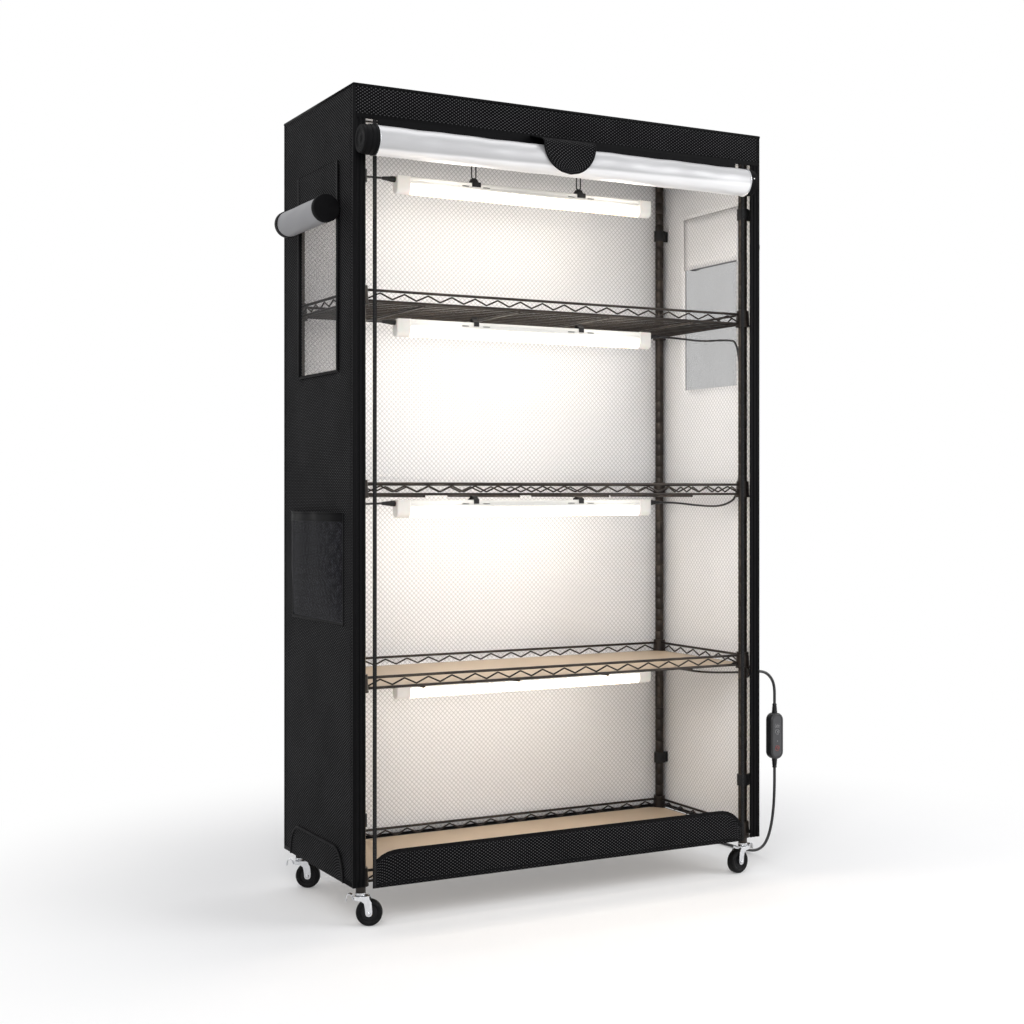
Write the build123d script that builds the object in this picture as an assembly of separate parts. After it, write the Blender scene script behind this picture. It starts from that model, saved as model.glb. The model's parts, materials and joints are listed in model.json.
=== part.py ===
from build123d import *
import math
import os

# Indoor greenhouse cabinet: a wire rack on castors under a fabric cover, lit by four tube lamps.
# Millimetres, +Z up. The origin is on the floor under the middle of the cabinet, which faces -Y.

os.makedirs("parts", exist_ok=True)

# Cover
cover_width = 930.0
cover_depth = 370.0
cover_skin = 1.6
header_height = 63.0
border_width = 24.0
tape_width = 8.0
tape_thickness = 1.0
tape_inset = 43.0
running_gap = 0.3
cut_overrun = 2.0

# Castors
wheel_diameter = 50.0
wheel_width = 18.0
wheel_edge = 3.0
wheel_facets = 20
axle_diameter = 6.0
axle_fit = 0.05
pin_facets = 8
castor_trail = 16.0
fork_side_gap = 1.0
fork_plate = 2.0
fork_foot_radius = 6.5
crown_plate = 2.4
crown_clearance = 3.4
crown_front_reach = 11.0
crown_back_reach = 17.0
race_height = 6.2
race_diameter = 20.0
kingpin_diameter = 7.0
kingpin_head_diameter = 10.0
kingpin_head_height = 1.3
stem_length = 22.0
stem_facets = 8
brake_strap = 1.8
brake_width = 13.0
brake_reach = 25.0
brake_drop = 13.0
brake_ear_gap = 0.4
brake_corner_share = 0.35
brake_pivot_offset = 8.5
brake_pivot_drop = 4.6
brake_pin_diameter = 2.6
castor_headings = {"front_left": -28.2, "front_right": 191.8, "rear_left": -28.2, "rear_right": 62.0}

# Posts
post_diameter = 19.0
post_wall = 1.5
post_facets = 12
post_inset = 25.0
post_show = 15.0
cap_flange = 2.0
cap_plug_length = 8.0

# Wire shelves
bottom_shelf_rise = 4.0
bottom_tier_pitch = 361.0
second_tier_pitch = 364.0
third_tier_pitch = 363.0
top_tier_pitch = 363.0
header_below_shelf = 28.0
truss_height = 20.0
rim_wire = 5.4
zigzag_wire = 3.4
zigzag_pitch = 51.5
surface_wire = 3.4
surface_wire_pitch = 26.6
support_wire = 5.0
support_pitch = 206.0
wire_facets = 4
surface_wire_facets = 4
collar_height = 34.0
collar_bottom_diameter = 29.0
collar_top_diameter = 26.0
collar_below_wire = 7.0
collar_facets = 6
liner_thickness = 1.0
liner_corner = 26.0

# Door roll and its keeper
roll_diameter = 58.0
roll_drop = 46.0
roll_inset = 30.0
roll_right_inset = 63.0
roll_band_margin = 1.0
roll_right_margin = 44.0
roll_facets = 16
band_step = 1.2
band_ring_width = 7.0
film_thickness = 1.0
film_lap = 3.0
keeper_width = 114.0
keeper_offset = 35.0
keeper_drop = 74.6
keeper_slope = 16.7
keeper_thickness = 1.8
keeper_rise = 5.0

# Threshold strip
threshold_height = 60.0
threshold_below_hem = 5.0
threshold_left_run = 62.0
threshold_left_drop = 16.0
threshold_right_run = 71.0
threshold_right_drop = 34.0
threshold_bulge_share = 0.3

# Side windows, their rolled flaps and the arched vent flaps
window_front = 78.0
window_width = 194.0
window_bottom = 965.0
window_height = 383.0
net_thickness = 0.8
window_roll_diameter = 52.0
window_roll_overhang = 12.0
window_roll_drop = 81.0
vent_front = 47.0
vent_width = 281.0
vent_height = 60.0
vent_shoulder = 46.0
vent_thickness = 1.2

# Tool pocket on the left side
pocket_front = 47.0
pocket_width = 270.0
pocket_bottom = 484.0
pocket_height = 210.0
pocket_depth = 20.0
pocket_net = 1.2

# Webbing ties between the posts and the cover
tie_height = 24.0
tie_thickness = 1.6
tie_facets = 6
upper_tie_level = 1325.0
lower_tie_level = 119.0

# Tube lamps
lamp_length = 603.0
lamp_width = 24.0
lamp_height = 35.0
lamp_base_height = 13.5
lamp_groove = 1.6
lamp_groove_height = 4.0
lamp_shift = 2.5
lamp_clear_drop = 12.0
top_lamp_drop = 89.0
tube_width = 22.0
tube_wall = 1.0
tube_facets = 8
end_cap_length = 29.0
end_cap_margin = 0.6
led_board_width = 12.0
led_board_thickness = 1.2
clip_spacing = 250.0
clip_length = 12.0
clip_wall = 1.8
clip_grip = 8.0
clip_jaw = 1.6
clip_slack = 0.35
clip_lip = 1.2
clip_bite = 0.2
hook_wire = 2.6
hook_slack = 0.5
loop_width = 10.0
loop_height = 30.0
loop_corner = 3.0
hanger_block_width = 20.0
hanger_block_height = 10.0

# Leads between the lamps
lead_diameter = 4.6
lead_facets = 3
lead_lane_inset = 16.0
lead_lane_front = 42.0
lead_turn_radius = 20.0
lead_entry_front = 158.0
lead_top_dip = 8.0
plug_length = 29.0
plug_diameter = 12.0
plug_tip_diameter = 6.0
plug_facets = 8

# Mains cord, its wall grommet, inline controller and plug
cord_diameter = 6.4
cord_facets = 4
grommet_flange_diameter = 26.0
grommet_flange = 2.4
grommet_body_diameter = 18.0
grommet_relief_length = 12.0
grommet_tip_diameter = 9.0
relief_facets = 12
pill_facets = 16
controller_length = 100.0
controller_width = 34.0
controller_depth = 22.0
controller_rim = 4.0
face_length = 83.0
face_width = 17.0
face_recess = 0.8
relief_length = 20.0
relief_diameter = 12.0
relief_tip_diameter = 9.0
button_diameter = 8.3
button_travel = 0.8
button_proud = 0.9
button_depth = 3.0
button_clearance = 0.2
timer_button_share = 0.405
power_button_share = 0.76
coil_inner_radius = 32.5
coil_gap = 0.9
coil_half_turns = 3
coil_tail = 45.0
coil_center_x = 485.0
coil_behind_cover = 58.0
plug_body_length = 38.0
plug_body_width = 27.0
plug_body_chamfer = 4.0
plug_relief_length = 26.0
plug_relief_diameter = 11.0
blade_length = 17.0
blade_width = 6.3
blade_thickness = 1.5
blade_spacing = 12.7

# Levels and lines that the pieces share
castor_height = wheel_diameter + crown_clearance + crown_plate + running_gap + race_height
hem = castor_height + post_show
bottom_level = hem + bottom_shelf_rise
lower_level = bottom_level + bottom_tier_pitch
middle_level = lower_level + second_tier_pitch
upper_level = middle_level + third_tier_pitch
top_level = upper_level + top_tier_pitch
header_bottom = top_level - header_below_shelf
top = header_bottom + header_height
cover_height = top - hem
left = -cover_width / 2
right = cover_width / 2
roll_radius = roll_diameter / 2
front = -(cover_depth - roll_diameter - keeper_thickness - 2 * running_gap) / 2
back = front + cover_depth
roof_under = top - cover_skin
post_front = front + post_inset
post_back = back - post_inset
post_left = left + post_inset
post_right = right - post_inset
post_radius = post_diameter / 2
post_corner = post_diameter / math.cos(math.pi / post_facets)
middle = (front + back) / 2
corners = {
    "front_left": (post_left, post_front),
    "front_right": (post_right, post_front),
    "rear_left": (post_left, post_back),
    "rear_right": (post_right, post_back),
}
shelf_levels = {
    "bottom_shelf": bottom_level,
    "lower_shelf": lower_level,
    "middle_shelf": middle_level,
    "upper_shelf": upper_level,
    "top_shelf": top_level,
}


def block(x0, x1, y0, y1, z0, z1):
    """A block between two corners."""
    place = Pos((x0 + x1) / 2, (y0 + y1) / 2, (z0 + z1) / 2)
    return place * Box(x1 - x0, y1 - y0, z1 - z0)


def rod(start, end, diameter):
    """A round rod from one point to another."""
    run = Vector(*end) - Vector(*start)
    return Solid.make_cylinder(diameter / 2, run.length, Plane(origin=start, z_dir=run))


def flat_bar(start, end, size, facets):
    """A straight bar of few flats, by its size across them; an even count has one flat on top."""
    run = Vector(*end) - Vector(*start)
    plane = Plane(origin=start, x_dir=(0, 0, 1), z_dir=run)
    outline = RegularPolygon(size / 2, facets, major_radius=False, rotation=180 / facets)
    return extrude(plane * outline, amount=run.length)


def prism(across_flats, facets, height):
    """An upright prism that stands on the XY plane."""
    return extrude(RegularPolygon(across_flats / 2, facets, major_radius=False), amount=height)


def tapered_prism(across_low, across_high, facets, height):
    """An upright prism that narrows or widens from its foot to its top."""
    low = RegularPolygon(across_low / 2, facets, major_radius=False)
    slope = math.degrees(math.atan2((across_low - across_high) / 2, height))
    return extrude(low, amount=height, taper=slope)


def pill(length, width, facets):
    """A bar's outline with round ends of few flats, its length along X."""
    end = RegularPolygon(width / 2, facets, major_radius=False, rotation=180 / facets)
    shift = (length - width) / 2
    return make_hull((Pos(shift, 0) * end).edges() + (Pos(-shift, 0) * end).edges())


def save(name, *solids):
    """Write one piece, or one group of like pieces, to its own file."""
    export_step(Compound(children=[Part() + s for s in solids]), f"parts/{name}.step")


def mirrored(solid):
    """The same piece on the other side of the cabinet."""
    return mirror(solid, about=Plane.YZ)


def bend_radii(points):
    """The bend at each inner point: as large as its two runs allow."""
    radii = []
    for before, here, after in zip(points, points[1:], points[2:]):
        run_in = Vector(*here) - Vector(*before)
        run_out = Vector(*after) - Vector(*here)
        half_turn = math.radians(run_in.get_angle(run_out)) / 2
        radii.append(0.45 * min(run_in.length, run_out.length) / math.tan(half_turn))
    return radii


def tube_section(start, direction, diameter, facets):
    """A cord's cross-section at its start: a polygon with the area of the round cord."""
    plane = Plane(origin=start, z_dir=direction)
    area_radius = diameter / 2 * math.sqrt(math.pi / (facets * math.tan(math.pi / facets)))
    return plane * RegularPolygon(area_radius, facets, major_radius=False, rotation=180 / facets)


def cord_tube(points, diameter, facets, radii):
    """A cord's stretch as one tube along straight runs and tangent arcs."""
    path = FilletPolyline(*points, radius=radii)
    section = tube_section(path @ 0, path % 0, diameter, facets)
    tube = sweep(section, path=path)
    return tube, path.length


# Posts: four steel tubes, each with a top cap
post_bottom = castor_height
cap_top = roof_under - running_gap
post_top = cap_top - cap_flange
post_height = post_top - post_bottom
post_bore = post_radius - post_wall
posts = []
caps = []
for x, y in corners.values():
    tube = prism(post_diameter, post_facets, post_height) - prism(2 * post_bore, stem_facets, post_height)
    posts.append(Pos(x, y, post_bottom) * tube)
    cap = prism(post_diameter, post_facets, cap_flange)
    cap += Pos(0, 0, -cap_plug_length) * prism(2 * (post_bore - running_gap), stem_facets, cap_plug_length)
    caps.append(Pos(x, y, post_top) * cap)
save("posts", *posts)
save("post_caps", *caps)

# Castor stems: expanding stem, race and kingpin in one turned piece, seated in the post's foot
wheel_radius = wheel_diameter / 2
axle_radius = axle_diameter / 2
crown_under = wheel_diameter + crown_clearance
crown_top = crown_under + crown_plate
race_bottom = crown_top + running_gap
kingpin_radius = kingpin_diameter / 2
pin_corner_share = 1 / math.cos(math.pi / pin_facets)
head_top = crown_under - running_gap
stems = []
for x, y in corners.values():
    stem = Pos(0, 0, head_top - kingpin_head_height) * prism(kingpin_head_diameter, relief_facets,
                                                             kingpin_head_height)
    stem += Pos(0, 0, head_top) * prism(kingpin_diameter, pin_facets, race_bottom - head_top)
    stem += Pos(0, 0, race_bottom) * prism(race_diameter, relief_facets, post_bottom - race_bottom)
    stem += Pos(0, 0, post_bottom) * prism(2 * (post_bore - running_gap), stem_facets, stem_length)
    stems.append(Pos(x, y, 0) * stem)
save("castor_stems", *stems)

# Castor fork: a pressed crown and two tapered arms, riveted through the wheel. Trail along +X.
fork_inner = wheel_width / 2 + fork_side_gap
fork_outer = fork_inner + fork_plate
brake_half = brake_width / 2
pivot_x = -brake_pivot_offset
pivot_z = crown_under - brake_pivot_drop


def fork_solid():
    """Crown, arms and axle rivet as one riveted piece."""
    foot = Pos(castor_trail, wheel_radius) * RegularPolygon(fork_foot_radius, relief_facets)
    shoulder = Pos((crown_back_reach - crown_front_reach) / 2, crown_top - crown_plate / 2)
    shoulder *= Rectangle(crown_back_reach + crown_front_reach, crown_plate)
    side = make_hull(foot.edges() + shoulder.edges())
    arms = extrude(Plane.XZ * side, amount=fork_outer, both=True)
    arms -= block(-crown_front_reach - cut_overrun, castor_trail + wheel_radius,
                  -fork_inner, fork_inner, 0, crown_under)
    arms += Pos(0, 0, crown_under) * prism(2 * fork_outer, relief_facets, crown_plate)
    pin_hole = 2 * (kingpin_radius * pin_corner_share + axle_fit)
    arms -= Pos(0, 0, crown_under) * prism(pin_hole, pin_facets, crown_plate)
    arms += flat_bar((castor_trail, -fork_outer, wheel_radius), (castor_trail, fork_outer, wheel_radius),
                     axle_diameter, pin_facets)
    return arms


def wheel_solid():
    """Moulded wheel with bevelled edges, bored for the axle."""
    tread = wheel_width - wheel_edge
    bevel = wheel_edge / 2
    rim = wheel_diameter - wheel_edge
    wheel = Pos(0, 0, bevel) * prism(wheel_diameter, wheel_facets, tread)
    wheel += tapered_prism(rim, wheel_diameter, wheel_facets, bevel)
    wheel += Pos(0, 0, bevel + tread) * tapered_prism(wheel_diameter, rim, wheel_facets, bevel)
    bore = 2 * (axle_radius * pin_corner_share + axle_fit)
    wheel = Pos(0, 0, -wheel_width / 2) * (wheel - prism(bore, pin_facets, wheel_width))
    return Pos(castor_trail, 0, wheel_radius) * Rot(90, 0, 0) * wheel


def brake_solid():
    """Foot lever: a bent strap on a pin between the fork's arms, hooked over the crown's front."""
    rise = post_bottom - 2 * brake_strap
    corner = brake_drop * brake_corner_share
    outer_x = -brake_reach
    line = Polyline((pivot_x, pivot_z), (pivot_x - corner, pivot_z),
                    (-crown_front_reach - corner, crown_top),
                    (-crown_front_reach - 2 * corner, rise), (outer_x + corner, rise),
                    (outer_x, rise - corner), (outer_x - brake_strap, rise - brake_drop))
    strap = extrude(Plane.XZ * trace(line, brake_strap), amount=brake_half, both=True)
    pin = flat_bar((pivot_x, -fork_inner + brake_ear_gap, pivot_z),
                   (pivot_x, fork_inner - brake_ear_gap, pivot_z), brake_pin_diameter, wire_facets)
    return strap + pin


fork = fork_solid()
wheel = wheel_solid()
brake = brake_solid()
for name, (x, y) in corners.items():
    place = Pos(x, y, 0) * Rot(0, 0, castor_headings[name])
    save(f"castor_fork_{name}", place * fork)
    save(f"castor_wheel_{name}", place * wheel)
    save(f"castor_brake_{name}", place * brake)

# Wire shelves: a lattice of wires between four trussed rims, and a collar at each post
rim_half = rim_wire / 2
collar_radius = collar_bottom_diameter / 2
rim_left = post_left + collar_radius
rim_right = post_right - collar_radius
rim_front = post_front + collar_radius
rim_back = post_back - collar_radius
wire_fall = surface_wire / 2 + support_wire / 2


def zigzag(length):
    """A bent wire that climbs and falls between the two rim wires, in the XZ plane."""
    low = rim_half
    high = truss_height - rim_half
    count = round(length / zigzag_pitch)
    pitch = length / count
    under = [(0, low)]
    over = [(0, low + zigzag_wire)]
    for i in range(count):
        peak = (i + 1 / 2) * pitch
        valley = (i + 1) * pitch
        under += [(peak, high - zigzag_wire), (valley, low)]
        over += [(peak, high), (valley, low + zigzag_wire)]
    face = Plane.XZ * make_face(Polyline(*under, *reversed(over), close=True))
    return extrude(face, amount=zigzag_wire / 2, both=True)


long_zigzag = zigzag(rim_right - rim_left)
short_zigzag = zigzag(rim_back - rim_front)


def shelf_solids(level):
    """All the wires and collars of one welded shelf."""
    solids = []
    upper = level + truss_height
    for y in (post_front, post_back):
        for z in (level, upper):
            solids.append(flat_bar((rim_left, y, z), (rim_right, y, z), rim_wire, wire_facets))
        solids.append(Pos(rim_left, y, level) * long_zigzag)
    for x in (post_left, post_right):
        for z in (level, upper):
            solids.append(flat_bar((x, rim_front, z), (x, rim_back, z), rim_wire, wire_facets))
        solids.append(Pos(x, rim_front, level) * Rot(0, 0, 90) * short_zigzag)
    count = int((post_back - post_front - surface_wire_pitch / 2) / surface_wire_pitch / 2)
    for i in range(-count, count + 1):
        y = middle + i * surface_wire_pitch
        ends = (post_left + rim_half, y, level), (post_right - rim_half, y, level)
        solids.append(flat_bar(*ends, surface_wire, surface_wire_facets))
    support_z = level - wire_fall
    for i in (-1.5, -0.5, 0.5, 1.5):
        x = i * support_pitch
        ends = (x, post_front + rim_half, support_z), (x, post_back - rim_half, support_z)
        solids.append(flat_bar(*ends, support_wire, surface_wire_facets))
    collar = tapered_prism(collar_bottom_diameter, collar_top_diameter, collar_facets, collar_height)
    collar -= prism(post_corner + 2 * running_gap, collar_facets, collar_height)
    for x, y in corners.values():
        solids.append(Pos(x, y, level - collar_below_wire) * collar)
    return solids


for name, level in shelf_levels.items():
    save(name, *shelf_solids(level))

# Shelf liners: plastic sheets with cut corners on the two lowest full tiers
liner_x = post_right - rim_half - running_gap
liner_y = (post_back - post_front) / 2 - rim_half - running_gap
liners = []
for level in (bottom_level, lower_level):
    sheet = chamfer(Rectangle(2 * liner_x, 2 * liner_y).vertices(), liner_corner)
    liners.append(Pos(0, middle, level + surface_wire / 2) * extrude(sheet, amount=liner_thickness))
save("shelf_liners", *liners)

# Cover: roof, back, two sides with a window, header, borders and threshold
inner_left = left + cover_skin
inner_right = right - cover_skin
window_y0 = front + window_front
window_y1 = window_y0 + window_width
window_z0 = hem + window_bottom
window_z1 = window_z0 + window_height
lamp_top_levels = [top_level - top_lamp_drop, upper_level - lamp_clear_drop,
                   middle_level - lamp_clear_drop, lower_level - lamp_clear_drop]
lamp_axis_drop = lamp_base_height / 2
grommet_y = front + lead_lane_front
grommet_z = lamp_top_levels[3] - lamp_axis_drop

save("cover_top", block(left, right, front, back, roof_under, top))
save("cover_back", block(inner_left, inner_right, back - cover_skin, back, hem, roof_under))
side = block(left, inner_left, front, back, hem, roof_under)
side -= block(left - cut_overrun, inner_left + cut_overrun, window_y0, window_y1, window_z0, window_z1)
port = Pos(inner_right - cut_overrun, grommet_y, grommet_z) * Rot(0, 90, 0)
port *= prism(grommet_body_diameter, relief_facets, cover_skin + 2 * cut_overrun)
save("cover_left", side)
save("cover_right", mirrored(side) - port)
net = block(left + (cover_skin - net_thickness) / 2, left + (cover_skin + net_thickness) / 2,
            window_y0, window_y1, window_z0, window_z1)
save("window_nets", net, mirrored(net))
save("front_header", block(inner_left, inner_right, front, front + cover_skin, header_bottom, roof_under))
border = block(inner_left, left + border_width, front, front + cover_skin, hem, header_bottom)
save("front_borders", border, mirrored(border))
tape_left = left + tape_inset
tape_bottom = hem - threshold_below_hem
tape = block(tape_left - tape_width / 2, tape_left + tape_width / 2,
             front, front + tape_thickness, tape_bottom, header_bottom)
save("zipper_tapes", tape, mirrored(tape))

threshold_x0 = tape_left + tape_width / 2
threshold_x1 = -threshold_x0
threshold_top = hem + threshold_height


def shoulder_bend(outer_x, inner_x, drop):
    """The rounded end of the threshold's top edge."""
    low = (outer_x, threshold_top - drop)
    high = (inner_x, threshold_top)
    bulge = (outer_x + (inner_x - outer_x) * threshold_bulge_share,
             threshold_top - drop * threshold_bulge_share)
    return ThreePointArc(low, bulge, high)


threshold_in_left = threshold_x0 + threshold_left_run
threshold_in_right = threshold_x1 - threshold_right_run
edge = shoulder_bend(threshold_x0, threshold_in_left, threshold_left_drop)
edge += Line((threshold_in_left, threshold_top), (threshold_in_right, threshold_top))
edge += shoulder_bend(threshold_x1, threshold_in_right, threshold_right_drop)
edge += Polyline((threshold_x1, threshold_top - threshold_right_drop), (threshold_x1, tape_bottom),
                 (threshold_x0, tape_bottom), (threshold_x0, threshold_top - threshold_left_drop))
threshold_plane = Plane(origin=(0, front, 0), x_dir=(1, 0, 0), z_dir=(0, -1, 0))
threshold = extrude(threshold_plane * make_face(edge), amount=-cover_skin)
save("front_threshold", threshold)

vent_y0 = front + vent_front
vent_y1 = vent_y0 + vent_width
vent_top = hem + vent_height
arch_share = math.sqrt(0.5)


def arch_end(outer_y, inner_y):
    """A quarter-round end of the arched vent flap."""
    knee = (inner_y + (outer_y - inner_y) * arch_share, hem + vent_height * arch_share)
    return ThreePointArc((outer_y, hem), knee, (inner_y, vent_top))


arch = arch_end(vent_y0, vent_y0 + vent_shoulder)
arch += Line((vent_y0 + vent_shoulder, vent_top), (vent_y1 - vent_shoulder, vent_top))
arch += arch_end(vent_y1, vent_y1 - vent_shoulder)
arch += Line((vent_y1, hem), (vent_y0, hem))
vent_plane = Plane(origin=(left, 0, 0), x_dir=(0, 1, 0), z_dir=(1, 0, 0))
vent = extrude(vent_plane * make_face(arch), amount=-vent_thickness)
save("side_vent_flaps", vent, mirrored(vent))

# Window flaps: each is rolled up and hangs from its top hem on the outside of the wall
window_roll_x = left - window_roll_diameter / 2 - running_gap
window_roll_z = window_z1 - window_roll_drop
roll_y0 = window_y0 - window_roll_overhang
roll_y1 = window_y1 + window_roll_overhang
flap = flat_bar((window_roll_x, roll_y0, window_roll_z), (window_roll_x, roll_y1, window_roll_z),
                window_roll_diameter, roll_facets)
flap += block(left - running_gap - film_thickness, left - running_gap, roll_y0, roll_y1,
              window_roll_z, window_z1 + window_roll_overhang)
flap += block(left - film_thickness, left, roll_y0, roll_y1, window_z1, window_z1 + window_roll_overhang)
save("window_flaps", flap, mirrored(flap))

# Tool pocket: a net front, two gussets and a floor, sewn to the left side
pocket_y0 = front + pocket_front
pocket_y1 = pocket_y0 + pocket_width
pocket_z0 = hem + pocket_bottom
pocket_z1 = pocket_z0 + pocket_height
pocket_out = left - pocket_depth
pocket_in = pocket_out + pocket_net
save(
    "tool_pocket",
    block(pocket_out, pocket_in, pocket_y0, pocket_y1, pocket_z0, pocket_z1),
    block(pocket_in, left, pocket_y0, pocket_y0 + pocket_net, pocket_z0, pocket_z1),
    block(pocket_in, left, pocket_y1 - pocket_net, pocket_y1, pocket_z0, pocket_z1),
    block(pocket_in, left, pocket_y0 + pocket_net, pocket_y1 - pocket_net, pocket_z0, pocket_z0 + pocket_net),
)

# Ties: a webbing loop round each post near its top and foot, sewn to the side wall
loop_inner = post_corner / 2 + running_gap
loop_outer = loop_inner + tie_thickness
ties = []
for level in (hem + lower_tie_level, hem + upper_tie_level):
    for y in (post_front, post_back):
        ring = prism(2 * loop_outer, tie_facets, tie_height) - prism(2 * loop_inner, tie_facets, tie_height)
        strap = block(inner_left - post_left, -loop_inner, -tie_thickness / 2, tie_thickness / 2,
                      0, tie_height)
        tie = Pos(post_left, y, level - tie_height / 2) * (ring + strap)
        ties += [tie, mirrored(tie)]
save("cover_ties", *ties)

# Door: rolled up under the header, with a bound end at each side
roll_y = front - running_gap - roll_radius
roll_z = header_bottom - roll_drop
film_x0 = left + roll_inset
film_x1 = right - roll_right_inset
strip_x = threshold_x1 - running_gap
door = rod((film_x0, roll_y, roll_z), (film_x1, roll_y, roll_z), roll_diameter)
door += block(-strip_x, film_x1 - running_gap, front - running_gap - film_thickness, front - running_gap,
              roll_z, header_bottom + film_lap)
save("door_roll", door)


def roll_band(film_end, outer_end, width):
    """The bound end of the roll: a full ring beside the film and a slimmer part outside it."""
    foot = film_end + width
    band = flat_bar((film_end, roll_y, roll_z), (foot, roll_y, roll_z), roll_diameter, roll_facets)
    band += flat_bar((foot, roll_y, roll_z), (outer_end, roll_y, roll_z),
                     roll_diameter - 2 * band_step, roll_facets)
    return band


save("door_roll_bands", roll_band(film_x0, left + roll_band_margin, -band_ring_width),
     roll_band(film_x1, right - roll_right_margin, band_ring_width))

# Roll keeper: a half-round flap that hangs from the header over the front of the roll
keeper_y = roll_y - roll_radius - running_gap
keeper_top = header_bottom + keeper_rise
keeper_radius = keeper_width / 2
shade = keeper_thickness / 2
bend_radius = roll_radius - keeper_thickness
keeper_x = -keeper_offset
keeper_line = FilletPolyline((front - running_gap - shade, keeper_top),
                             (keeper_y - shade, keeper_top - keeper_slope),
                             (keeper_y - shade, header_bottom - keeper_drop), radius=bend_radius / 2)
keeper_plane = Plane(origin=(keeper_x, 0, 0), x_dir=(0, 1, 0), z_dir=(1, 0, 0))
keeper = extrude(keeper_plane * trace(keeper_line, keeper_thickness), amount=keeper_radius, both=True)
keeper_mid = header_bottom - keeper_drop + keeper_radius
outline_plane = Plane(origin=(keeper_x, 0, 0), x_dir=(1, 0, 0), z_dir=(0, -1, 0))
half_round = Pos(0, keeper_mid) * Circle(keeper_radius)
half_round += Pos(0, (keeper_mid + top) / 2) * Rectangle(keeper_width, top - keeper_mid)
keeper &= extrude(outline_plane * half_round, amount=cover_depth, both=True)
save("roll_keeper", keeper)

# Tube lamps: channel housing, clear tube, circuit board and two end caps
lamp_x0 = lamp_shift - lamp_length / 2
lamp_x1 = lamp_x0 + lamp_length
lamp_half = lamp_width / 2
tube_half = tube_width / 2
tube_straight = lamp_height - lamp_base_height - tube_half


def along_x(face, x0, x1):
    """A section drawn in Y and Z, drawn out between two places along X."""
    plane = Plane(origin=(x0, 0, 0), x_dir=(0, 1, 0), z_dir=(1, 0, 0))
    return extrude(plane * face, amount=x1 - x0)


def tube_outline(half, extra):
    """A straight-sided trough with a round bottom, its top edge at zero."""
    bottom = []
    for i in range(tube_facets + 1):
        turn = math.pi * i / tube_facets
        bottom.append((half * math.cos(turn), -tube_straight - half * math.sin(turn)))
    return make_face(Polyline((half, extra), *bottom, (-half, extra), close=True))


def lamp_pieces(z_top):
    """The housing, tube, board and end caps of one lamp, by their top level."""
    place = Pos(0, middle, z_top)
    groove_low = -lamp_base_height / 2 - lamp_groove_height / 2
    groove_high = groove_low + lamp_groove_height
    inner = lamp_half - lamp_groove
    base = [(-lamp_half, 0), (-lamp_half, groove_high), (-inner, groove_high), (-inner, groove_low),
            (-lamp_half, groove_low), (-lamp_half, -lamp_base_height)]
    outline = base + [(-y, z) for y, z in reversed(base)]
    x0 = lamp_x0 + end_cap_length
    x1 = lamp_x1 - end_cap_length
    housing = along_x(make_face(Polyline(*outline, close=True)), x0, x1)
    wall = tube_outline(tube_half, 0) - tube_outline(tube_half - tube_wall, cut_overrun)
    lens = along_x(wall, x0, x1)
    board = block(x0, x1, -led_board_width / 2, led_board_width / 2, -led_board_thickness, 0)
    cap_half = lamp_half + end_cap_margin
    cap_face = tube_outline(cap_half, lamp_base_height)
    end_caps = [along_x(cap_face, lamp_x0, x0), along_x(cap_face, x1, lamp_x1)]
    down = Pos(0, 0, -lamp_base_height)
    return place * housing, place * down * lens, place * down * board, [place * down * c for c in end_caps]


lamps = [lamp_pieces(z) for z in lamp_top_levels]
save("top_lamp_housing", lamps[0][0])
save("top_lamp_tube", lamps[0][1])
save("top_lamp_board", lamps[0][2])
save("top_lamp_end_caps", *lamps[0][3])
save("lamp_housings", *[lamp[0] for lamp in lamps[1:]])
save("lamp_tubes", *[lamp[1] for lamp in lamps[1:]])
save("lamp_boards", *[lamp[2] for lamp in lamps[1:]])
save("lamp_end_caps", *[cap for lamp in lamps[1:] for cap in lamp[3]])

# Clips that hold the lower lamps to the middle wire of the shelf above
clip_places = [lamp_shift - clip_spacing / 2, lamp_shift + clip_spacing / 2]
clip_out = lamp_half + clip_wall
wire_axis = lamp_clear_drop
jaw_half = surface_wire / 2 + clip_slack
jaw_out = jaw_half + clip_jaw


def clip_solid():
    """A saddle over the lamp's channel, with a jaw that snaps on the shelf wire from below."""
    right_side = [
        (lamp_half, 0), (lamp_half, -clip_grip), (clip_out, -clip_grip), (clip_out, clip_wall),
        (jaw_out, clip_wall), (jaw_out, wire_axis), (jaw_out - clip_bite, wire_axis + clip_lip),
        (jaw_half - clip_bite, wire_axis + clip_lip), (jaw_half, wire_axis), (jaw_half, wire_axis - jaw_half),
    ]
    outline = right_side + [(-y, z) for y, z in reversed(right_side)]
    half = clip_length / 2
    return along_x(make_face(Polyline(*outline, close=True)), -half, half)


clip = clip_solid()
save("lamp_clips", *[Pos(x, middle, z) * clip for z in lamp_top_levels[1:] for x in clip_places])


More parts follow.
